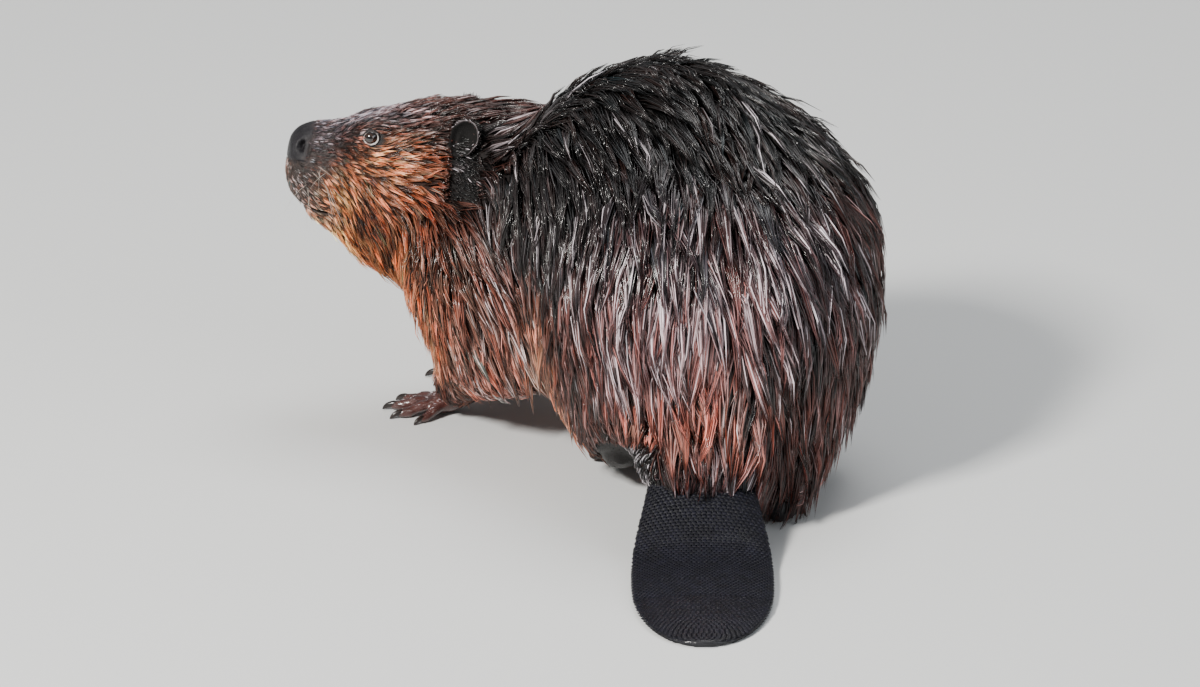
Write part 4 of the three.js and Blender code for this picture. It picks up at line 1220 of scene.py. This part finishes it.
onTail = bare * (skinPoints[:, 1] < (-92 + shiftY + 6) * mm)
onFoot = bare * (1 - onTail) * (skinPoints[:, 2] < 0.075) * (skinPoints[:, 1] > -0.06)
paint(onFoot, (0.012, 0.007, 0.007), 0.48)
paint(onFoot * (skinPoints[:, 0] < -0.04), (0.062, 0.023, 0.020), 0.2)
paint(onTail, (0.006, 0.006, 0.009), 0.5)
paint(onHeel, (0.004, 0.003, 0.003), 0.42)
# the hollow under each ear is painted near-black, painted shade
beside = (np.abs(skinHead[:, 1]) > 35) * ease(-48, -42, skinHead[:, 2]) * ease(22, 14, skinHead[:, 2])
paint(beside * ease(-16, -11, skinHead[:, 0]) * ease(11, 7, skinHead[:, 0]), (0.003, 0.002, 0.002), 0.8)
paint(inMouth * 1.4, (0.020, 0.008, 0.007), 0.3)
paint(onNose, tones["nose"][:3], 0.36)
paint((skinHead[:, 0] > 112) * (1 - onNose) * 0.7, (0.035, 0.026, 0.024), 0.5)
reach = eyeReach(skinHead)
paint(1 - ease(1.9, 2.6, reach), (0.008, 0.006, 0.006), 0.35)
# a pale grey rim on the lids, a painted reflection on their wet edge
paint((1 - ease(1.3, 1.42, reach)) * ease(0.84, 0.92, reach), (0.44, 0.41, 0.39), 0.3)
# the nostrils are painted still darker than the nose pad, painted shade in their openings
nostril = facePlan["nostril"]["at"]
ahead, height = skinHead[:, 0] - nostril[0] + 2, skinHead[:, 2] - nostril[2]
inNostril = np.exp(-(ahead / 3.2) ** 2 - (height / 4.5) ** 2)
paint(inNostril * (np.abs(skinHead[:, 1]) < 12.5) * onNose * 1.6, (0.002, 0.002, 0.002), 0.6)
# the ears are painted near-black: their dark skin with painted shade in the bowl
paint(onEar, (0.0025, 0.002, 0.002), 0.85)
for ear in ears.values():
    away = (skinPoints - ear["centre"]) / mm
    face = away @ ear["facing"]
    behind = ease(-6, 4, -(away @ forward) + 0.5 * (away @ ear["up"]))
    sideways = away @ unit(np.cross(ear["up"], ear["facing"]))
    rimmed = np.hypot(sideways / earPlan["halfWidth"], away @ ear["up"] / earPlan["halfHeight"])
    paint(onEar * ease(-1.5, 0, face) * ease(0.9, 0.96, rimmed) * behind, (0.11, 0.095, 0.10), 0.4)
wetness = np.maximum(0.85 * onFoot * (skinPoints[:, 0] < -0.04), 0.25 * onTail)
addAttribute(skinMesh, "tone", skinTone)
addAttribute(skinMesh, "wet", wetness)
addAttribute(skinMesh, "dull", skinDull)
skinMesh.materials.clear()
skinMesh.materials.append(skinMaterial)

order = np.argsort(roots[:, 0])
rootHead = toHead(roots)
region = np.where(rootHead[:, 0] > -16, 0, np.where(roots[:, 2] < 0.1, 2, 1))
pieces = []
coatPieces = [
    ("face", faceMaterial, "cheek_fur"),
    ("back", coatMaterial, "back_fur"),
    ("legs", coatMaterial, "leg_fur"),
]
for number, (label, material, slotName) in enumerate(coatPieces):
    group = order[region[order] == number]
    for i, pick in enumerate(np.array_split(group, math.ceil(len(group) / 12000))):
        tuftMesh(f"coat_{label}_{i + 1}", pick, material)
        pieces.append(len(pick))
print("coat:", sum(pieces), "tufts in", len(pieces), "pieces", pieces)

# eyes

irisPlan = {
    "pupil": 0.3, "iris": 0.5,
    "dark": (0.004, 0.003, 0.003), "brown": (0.026, 0.014, 0.010), "edge": (0.006, 0.004, 0.004),
}


def eyeMaterial():
    material, tree, shader = newMaterial(
        "wetEye", Roughness=0.12, Coat_Weight=1.0, Coat_Roughness=0.03, IOR=1.45)
    ring = nodeIn(tree, "ShaderNodeAttribute", attribute_name="ring")
    ramp = tree.nodes.new("ShaderNodeValToRGB")
    stops = ramp.color_ramp.elements
    stops[0].position, stops[0].color = irisPlan["pupil"], (*irisPlan["dark"], 1)
    stops[1].position, stops[1].color = irisPlan["pupil"] + 0.05, (*irisPlan["brown"], 1)
    for position, colour in ((irisPlan["iris"], "brown"), (irisPlan["iris"] + 0.08, "edge")):
        stop = stops.new(position)
        stop.color = (*irisPlan[colour], 1)
    link(ring, "Fac", ramp, "Fac")
    link(ramp, "Color", shader, "Base Color")
    return material


eyeShine = eyeMaterial()
for name, side in (("left", 1), ("right", -1)):
    outward = unit(side * 0.96 * leftward + 0.2 * forward + 0.1 * upward)
    across = unit(np.cross(outward, upward))
    over = np.cross(across, outward)
    polar = np.linspace(0.02, math.pi - 0.02, 40)
    around = 2 * math.pi * np.arange(40) / 40
    bulge = 0.5 * np.clip(1 - (polar / 0.75) ** 2, 0, 1) ** 1.5
    radius = (eyePlan["radius"] + bulge) * mm
    rings = (eyeAt[name] + (radius * np.cos(polar))[:, None, None] * outward
             + (radius * np.sin(polar))[:, None, None]
             * (np.cos(around)[None, :, None] * across + np.sin(around)[None, :, None] * over))
    points, faces = loftOf(rings)
    ball = meshOf(f"{name}_eyeball", points, faces[:, ::-1])
    addAttribute(ball, "ring", np.append(np.repeat(polar, 40), (0, math.pi)))
    eye = objectOf(f"{name}_eyeball", ball, eyeShine)
    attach(eye, "root")
    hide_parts(f"{name}_eye")

# front teeth, claws and whiskers

toothMaterial, toothTree, toothShader = newMaterial(
    "toothEnamel", Roughness=0.3, Coat_Weight=0.4, Coat_Roughness=0.1)
lowest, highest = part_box("incisors")
toothAt = toHead(((np.array(lowest) + np.array(highest)) / 2)[None])[0]
toothParts = []
for y in (-2.5, 2.5):
    line = [(0.4, y, 9, 1.9, 1.25), (0.8, y, 4, 2.2, 1.2), (0.6, y, -2, 2.3, 1.15),
            (-0.4, y, -7, 2.2, 1.0), (-1.6, y, -9.2, 1.8, 0.5)]
    points, faces = tubeOf([(z, yy, -x, r, f) for x, yy, z, r, f in line], 14, 16)
    local = np.stack([-points[:, 2], points[:, 1], points[:, 0]], 1)
    toothParts.append((np.array([onHead(*(toothAt + v)) for v in local]), faces))
teeth = objectOf("front_teeth", joined("front_teeth", toothParts), toothMaterial)
toothNoise = nodeIn(toothTree, "ShaderNodeTexNoise", Scale=300.0, Detail=3.0)
toothRamp = toothTree.nodes.new("ShaderNodeValToRGB")
toothRamp.color_ramp.elements[0].color = (0.50, 0.17, 0.030, 1)
toothRamp.color_ramp.elements[1].color = (0.72, 0.34, 0.090, 1)
link(toothNoise, "Fac", toothRamp, "Fac")
link(toothRamp, "Color", toothShader, "Base Color")
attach(teeth, "root")
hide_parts("incisors")

horns = objectOf("claws", joined("claws", claws), hornMaterial)
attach(horns, "root")

whiskerPlan = {"count": 15, "thick": 0.24, "tone": (0.38, 0.33, 0.29)}
whiskerParts = []
for side in (1, -1):
    for i in range(whiskerPlan["count"]):
        x, z = dice.uniform(112, 134), dice.uniform(-52, -26)
        start = onHead(x, side * 24, z)
        k = np.argmin(np.linalg.norm(skinPoints[:bodyCount] - start, axis=1))
        start = skinPoints[k] - skinNormals[k] * 0.5 * mm
        long = dice.uniform(14, 40) if i else 40
        sweep = dice.uniform(-0.7, 0.6) if i else 0.75
        way = sweep * forward + side * dice.uniform(0.55, 0.9) * leftward + dice.uniform(-0.7, -0.1) * upward
        way, droop = unit(way), unit(-0.5 * forward - 0.8 * upward)
        steps = np.linspace(0, 1, 8)[:, None]
        line = start + (way * steps + droop * 0.28 * steps ** 2) * long * mm
        thick = whiskerPlan["thick"] * (1.05 - steps[:, 0])
        stationList = np.concatenate([line / mm, thick[:, None], np.ones((8, 1))], 1)
        points, faces = tubeOf(stationList, 5, 8, capped=False)
        whiskerParts.append((points * mm, faces))
whiskerMesh = joined("whiskers", whiskerParts)
whiskerMaterial, _, _ = newMaterial("whisker", Base_Color=(*whiskerPlan["tone"], 1), Roughness=0.35)
whiskers = objectOf("whiskers", whiskerMesh, whiskerMaterial)
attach(whiskers, "root")

# scales of the tail

scalePlan = {"pitch": 2.7, "width": 4.2, "lift": 0.6, "furEdge": -118, "smoothFrom": -262}
scalePoints, scaleFaces, scaleTone, scaleDull, scaleWet = [], [], [], [], []
corner = [(-1, 0.1), (-0.55, 0.95), (0.55, 0.95), (1, 0.1), (0.6, -0.9), (-0.6, -0.9)]
row = 0
y = scalePlan["furEdge"]
while y > paddle["tipY"] + 3:
    for face in (1, -1):
        half = np.linalg.norm(paddlePoint(y, 0.0) - paddlePoint(y, math.pi)) / mm / 2
        number = max(int(2 * half / scalePlan["width"]), 1)
        for i in range(number):
            across = (2 * (i + 0.5 + 0.5 * (row % 2)) / number - 1)
            if abs(across) > 0.985:
                continue
            angle = face * math.acos(across)
            here = paddlePoint(y, angle)
            side = paddlePoint(y, face * math.acos(np.clip(across + 0.02, -0.999, 0.999))) - here
            down = paddlePoint(y - 1.0, angle) - here
            side, down = unit(side), unit(down)
            over = unit(np.cross(down, side))
            if over[2] * face < 0:
                over = -over
            if face < 0 and here[2] < 0.0012:
                continue
            size = scalePlan["width"] * 0.54 * dice.uniform(0.92, 1.05) * mm
            tall = scalePlan["pitch"] * 0.66 * dice.uniform(0.92, 1.08) * mm
            flat = 0.4 if y < scalePlan["smoothFrom"] else 1.0
            lift = scalePlan["lift"] * flat * dice.uniform(0.8, 1.15) * mm
            rim = [here + side * a * size - down * b * tall + over * (0.12 - 0.25 * b) * lift
                   for a, b in corner]
            inner = [here + side * a * size * 0.62 - down * (b * 0.6 - 0.12) * tall
                     + over * (0.85 - 0.2 * b) * lift for a, b in corner]
            base = len(scalePoints)
            scalePoints += rim + inner + [here - over * 0.8 * mm]
            for k in range(6):
                n = (k + 1) % 6
                scaleFaces += [(base + k, base + n, base + 6 + n), (base + k, base + 6 + n, base + 6 + k),
                               (base + n, base + k, base + 12)]
            scaleFaces += [(base + 6, base + 6 + k, base + 7 + k) for k in range(1, 5)]
            shade = dice.uniform(0.75, 1.25)
            scaleTone += [np.array((0.005, 0.005, 0.010)) * shade * (1.0 if flat == 1 else 0.8)] * 13
            scaleDull += [0.5 if flat == 1 else 0.38] * 13
            scaleWet += [0.08 if flat == 1 else 0.14] * 13
    y -= scalePlan["pitch"] * (0.75 if y < -300 else 1)
    row += 1
scalePoints, scaleFaces = np.array(scalePoints), np.array(scaleFaces)
scalePoints[:, 2] = np.maximum(scalePoints[:, 2], 0.0)
scaleMesh = meshOf("tail_scales", scalePoints, scaleFaces)
addAttribute(scaleMesh, "tone", scaleTone)
addAttribute(scaleMesh, "wet", scaleWet)
addAttribute(scaleMesh, "dull", scaleDull)
scales = objectOf("tail_scales", scaleMesh, scaleMaterial)
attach(scales, "root")
print("tail scales:", len(scalePoints) // 13)

# floor

floorMaterial, _, _ = newMaterial("paleFloor", Base_Color=(0.62, 0.63, 0.63, 1), Roughness=0.65)
floorCorners = np.array([(-12, -9, 0), (12, -9, 0), (12, 14, 0), (-12, 14, 0)])
floor = objectOf("floor", meshOf("floor", floorCorners, [(0, 1, 2, 3)]), floorMaterial)
floor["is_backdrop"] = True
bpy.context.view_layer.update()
quads = {"beaver_skin"}  # its faces have four corners
triangles = sum(len(o.data.polygons) * (2 if o.name in quads else 1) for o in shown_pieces())
print("triangles:", triangles)
